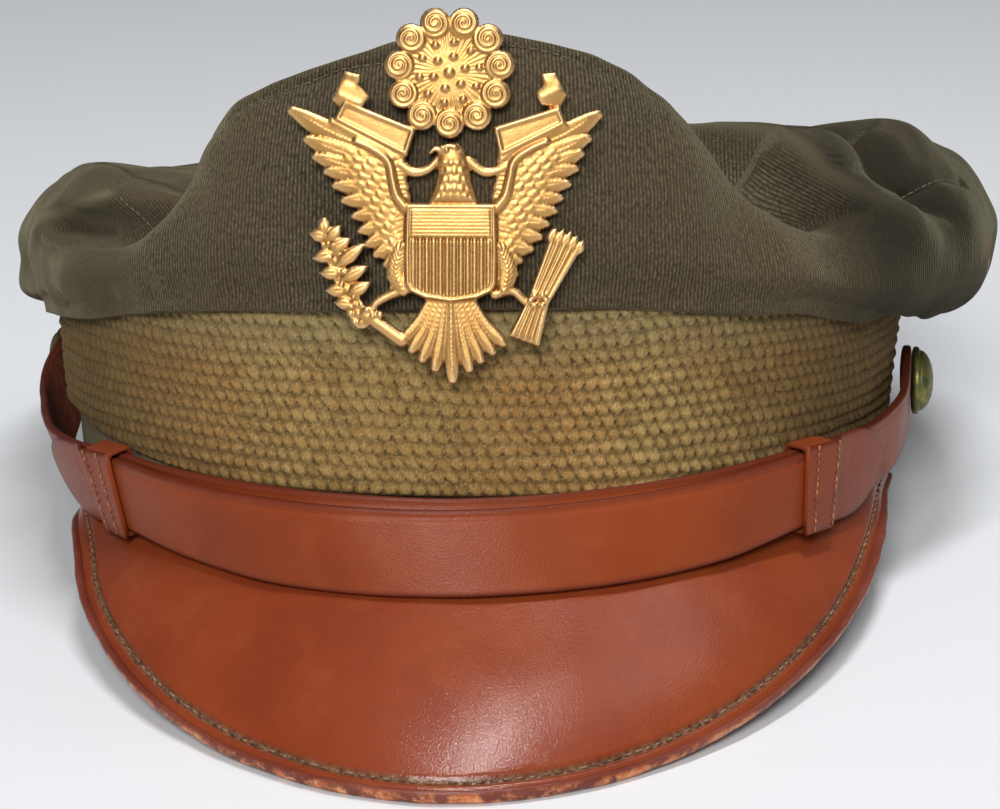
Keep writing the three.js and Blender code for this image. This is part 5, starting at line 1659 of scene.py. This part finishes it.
def relief_sprig(relief):
    """The stalk with its leaves and buds."""
    away, share, _ = relief.trail(SPRIG)
    lumps, _ = scales(relief.x / 1.3, relief.y / 1.5 + 40)
    relief.lay(away - mix(1.8, 1.2, share), 1.0 + 0.6 * lumps)
    line = curve(SPRIG, 101)
    for x, y, root in LEAVES:
        relief.leaf(line[int(root * 100)], (x, y), 1.3, 1.15, 0.7)
    for k in range(6):
        x, y = line[14 + 12 * k]
        aside = 0.6 if k % 2 else -0.6
        relief.bead(x + aside, y + 0.2, 0.42, 1.5, 0.35)


def relief_arrows(relief):
    """The sheaf, tied at its knot by a ring of beads, and the arrows' heads."""
    foot, knot, head = (np.array(ARROWS[name]) for name in ("foot", "knot", "head"))
    wide, tight, open_end = ARROWS["half"]
    half_count = ARROWS["count"] / 2
    for start, end, half0, half1 in ((foot, knot, wide, tight), (knot, head, tight, open_end)):
        length = np.linalg.norm(end - start)
        way = (end - start) / length
        s = (relief.x - start[0]) * way[0] + (relief.y - start[1]) * way[1]
        w = (relief.y - start[1]) * way[0] - (relief.x - start[0]) * way[1]
        share = clamp01(s / length)
        half = mix(half0, half1, share)
        ragged = 0.5 * np.abs(((w / half * half_count) % 1) - 0.5)
        distance = np.maximum(np.abs(w) - half, np.maximum(-s, s - length - ragged * 2 + 0.3))
        shafts = np.abs(np.cos(w / half * np.pi * half_count))
        relief.lay(distance, 1.1 + 0.5 * dome(distance, 1.2) + 0.42 * shafts)
    side = np.array([-way[1], way[0]])
    for k in range(ARROWS["count"]):
        point = head + side * ((k - 2) / 2 * open_end * 0.86)
        relief.leaf(point - way * 1.6, point + way * (1.9 - 0.3 * abs(k - 2)), 0.9, 1.45, 0.6)
    for k in range(ARROWS["beads"]):
        a = 2 * np.pi * k / ARROWS["beads"]
        relief.bead(knot[0] + 1.35 * np.cos(a), knot[1] + 1.0 * np.sin(a), 0.7, 1.5, 0.65)


def relief_mesh(relief):
    """Closed plate under the height field; its outline follows the shapes' own outline."""
    outside = relief.outside
    nx, ny = outside.shape
    gx, gy = np.gradient(outside, RELIEF_STEP)
    slope = np.maximum(np.hypot(gx, gy), 0.5)
    over = np.where((outside > 0) & (outside < 1.6 * RELIEF_STEP), outside, 0.0)
    x, y = relief.x - over * gx / slope ** 2, relief.y - over * gy / slope ** 2
    metal = relief.height > 0
    spread = np.where(metal, relief.height, 0.0)
    shifts = [(i, j) for i in (-1, 0, 1) for j in (-1, 0, 1)]
    around = np.maximum.reduce([np.roll(spread, shift, (0, 1)) for shift in shifts])
    height = np.where(metal, relief.height, 0.8 * around)
    near = outside < 0.75 * RELIEF_STEP
    full = near[:-1, :-1] & near[1:, :-1] & near[1:, 1:] & near[:-1, 1:]
    i, j = np.nonzero(full)
    faces = np.stack([i * ny + j, (i + 1) * ny + j, (i + 1) * ny + j + 1, i * ny + j + 1], -1)
    used = np.unique(faces)
    number = np.zeros(nx * ny, int)
    number[used] = np.arange(len(used))
    faces = number[faces]
    count = len(used)
    starts, ends = faces.ravel(), np.roll(faces, -1, axis=1).ravel()
    lone = ~np.isin(starts * count + ends, ends * count + starts)
    walls = np.stack([ends[lone], starts[lone], starts[lone] + count, ends[lone] + count], -1)
    faces = np.concatenate([faces, faces[:, ::-1] + count, walls])
    flat = np.stack([x.ravel()[used], y.ravel()[used]], -1)
    top = height.ravel()[used]
    wide = blurred(relief.height, 14)
    # Marks for the gilt's painted shade in the recesses and its painted highlight on the proud edges.
    hollow = clamp01((wide - relief.height - 0.03) * 3.0).ravel()[used]
    proud_highlight = clamp01((relief.height - wide - 0.02) * 2.6).ravel()[used]
    return flat, top, faces, hollow, proud_highlight


def badge():
    relief = Relief()
    for lay in (
        relief_wings, relief_tail, relief_banners, relief_sprig, relief_arrows, relief_rosette,
        relief_head, relief_shield, relief_cords,
    ):
        lay(relief)
    relief.height = np.where(relief.height > 0, blurred(relief.height, 1), 0)
    flat, top, faces, hollow, proud_highlight = relief_mesh(relief)
    bow = flat[:, 0] ** 2 / (2 * BADGE["bend"])
    lean = np.radians(BADGE["lean"])
    across = np.array([1.0, 0.0, 0.0])
    up = np.array([0.0, np.sin(lean), np.cos(lean)])
    out = np.array([0.0, -np.cos(lean), np.sin(lean)])
    seat = np.array([BADGE["x"], BADGE["y"], BADGE["z"]])

    def placed(height):
        return seat + flat[:, :1] * across + flat[:, 1:] * up + (height - bow)[:, None] * out

    points = np.concatenate([placed(top), placed(0 * top)])
    marks = {"hollow": np.append(hollow, 0 * hollow), "proud_highlight": np.append(proud_highlight, 0 * proud_highlight)}
    made = mesh_object("eagle_badge", tip(points), faces, None, marks)
    dressed(made, "badge", "gilt", gilt_paint())


# Studio

def studio():
    """Camera, pale floor and soft lights."""
    data = bpy.data.cameras.new("camera")
    data.lens = CAMERA_LENS
    data.sensor_width = 36.0
    data.clip_start = 0.01
    camera = bpy.data.objects.new("camera", data)
    right = CAMERA_UP.cross(CAMERA_BACK).normalized()
    up = CAMERA_BACK.cross(right).normalized()
    turn = Matrix((right, up, CAMERA_BACK.normalized())).transposed().to_4x4()
    camera.matrix_world = Matrix.Translation(CAMERA_PLACE) @ turn
    bpy.context.scene.collection.objects.link(camera)
    bpy.context.scene.camera = camera

    floor = mesh_object("floor", FLOOR_CORNERS, [(0, 1, 2, 3)])
    paint = Paint("floor", Roughness=0.7, Base_Color=FLOOR_COLOUR)
    floor.data.materials.append(paint.material)

    bpy.context.scene.view_settings.view_transform = "Standard"
    world = bpy.data.worlds.new("studio")
    world.use_nodes = True
    sky = world.node_tree.nodes["Background"]
    sky.inputs[0].default_value = SKY_COLOUR
    sky.inputs[1].default_value = SKY_STRENGTH
    bpy.context.scene.world = world
    for name, place, aim, width, depth, power in STUDIO_LIGHTS:
        light = bpy.data.lights.new(name, "AREA")
        light.shape = "RECTANGLE"
        light.size = width
        light.size_y = depth
        light.energy = power
        lamp = bpy.data.objects.new(name, light)
        lamp.location = place
        lamp.rotation_euler = (Vector(aim) - Vector(place)).to_track_quat("-Z", "Y").to_euler()
        bpy.context.scene.collection.objects.link(lamp)


crown()
band_base()
mohair = braid_paint()
for name, (first, last, columns, steps) in BRAID_LENGTHS.items():
    braid(name, first, last, columns, steps, mohair)
visor()
visor_edge()
visor_stitches()
chin_strap()
badge()
studio()
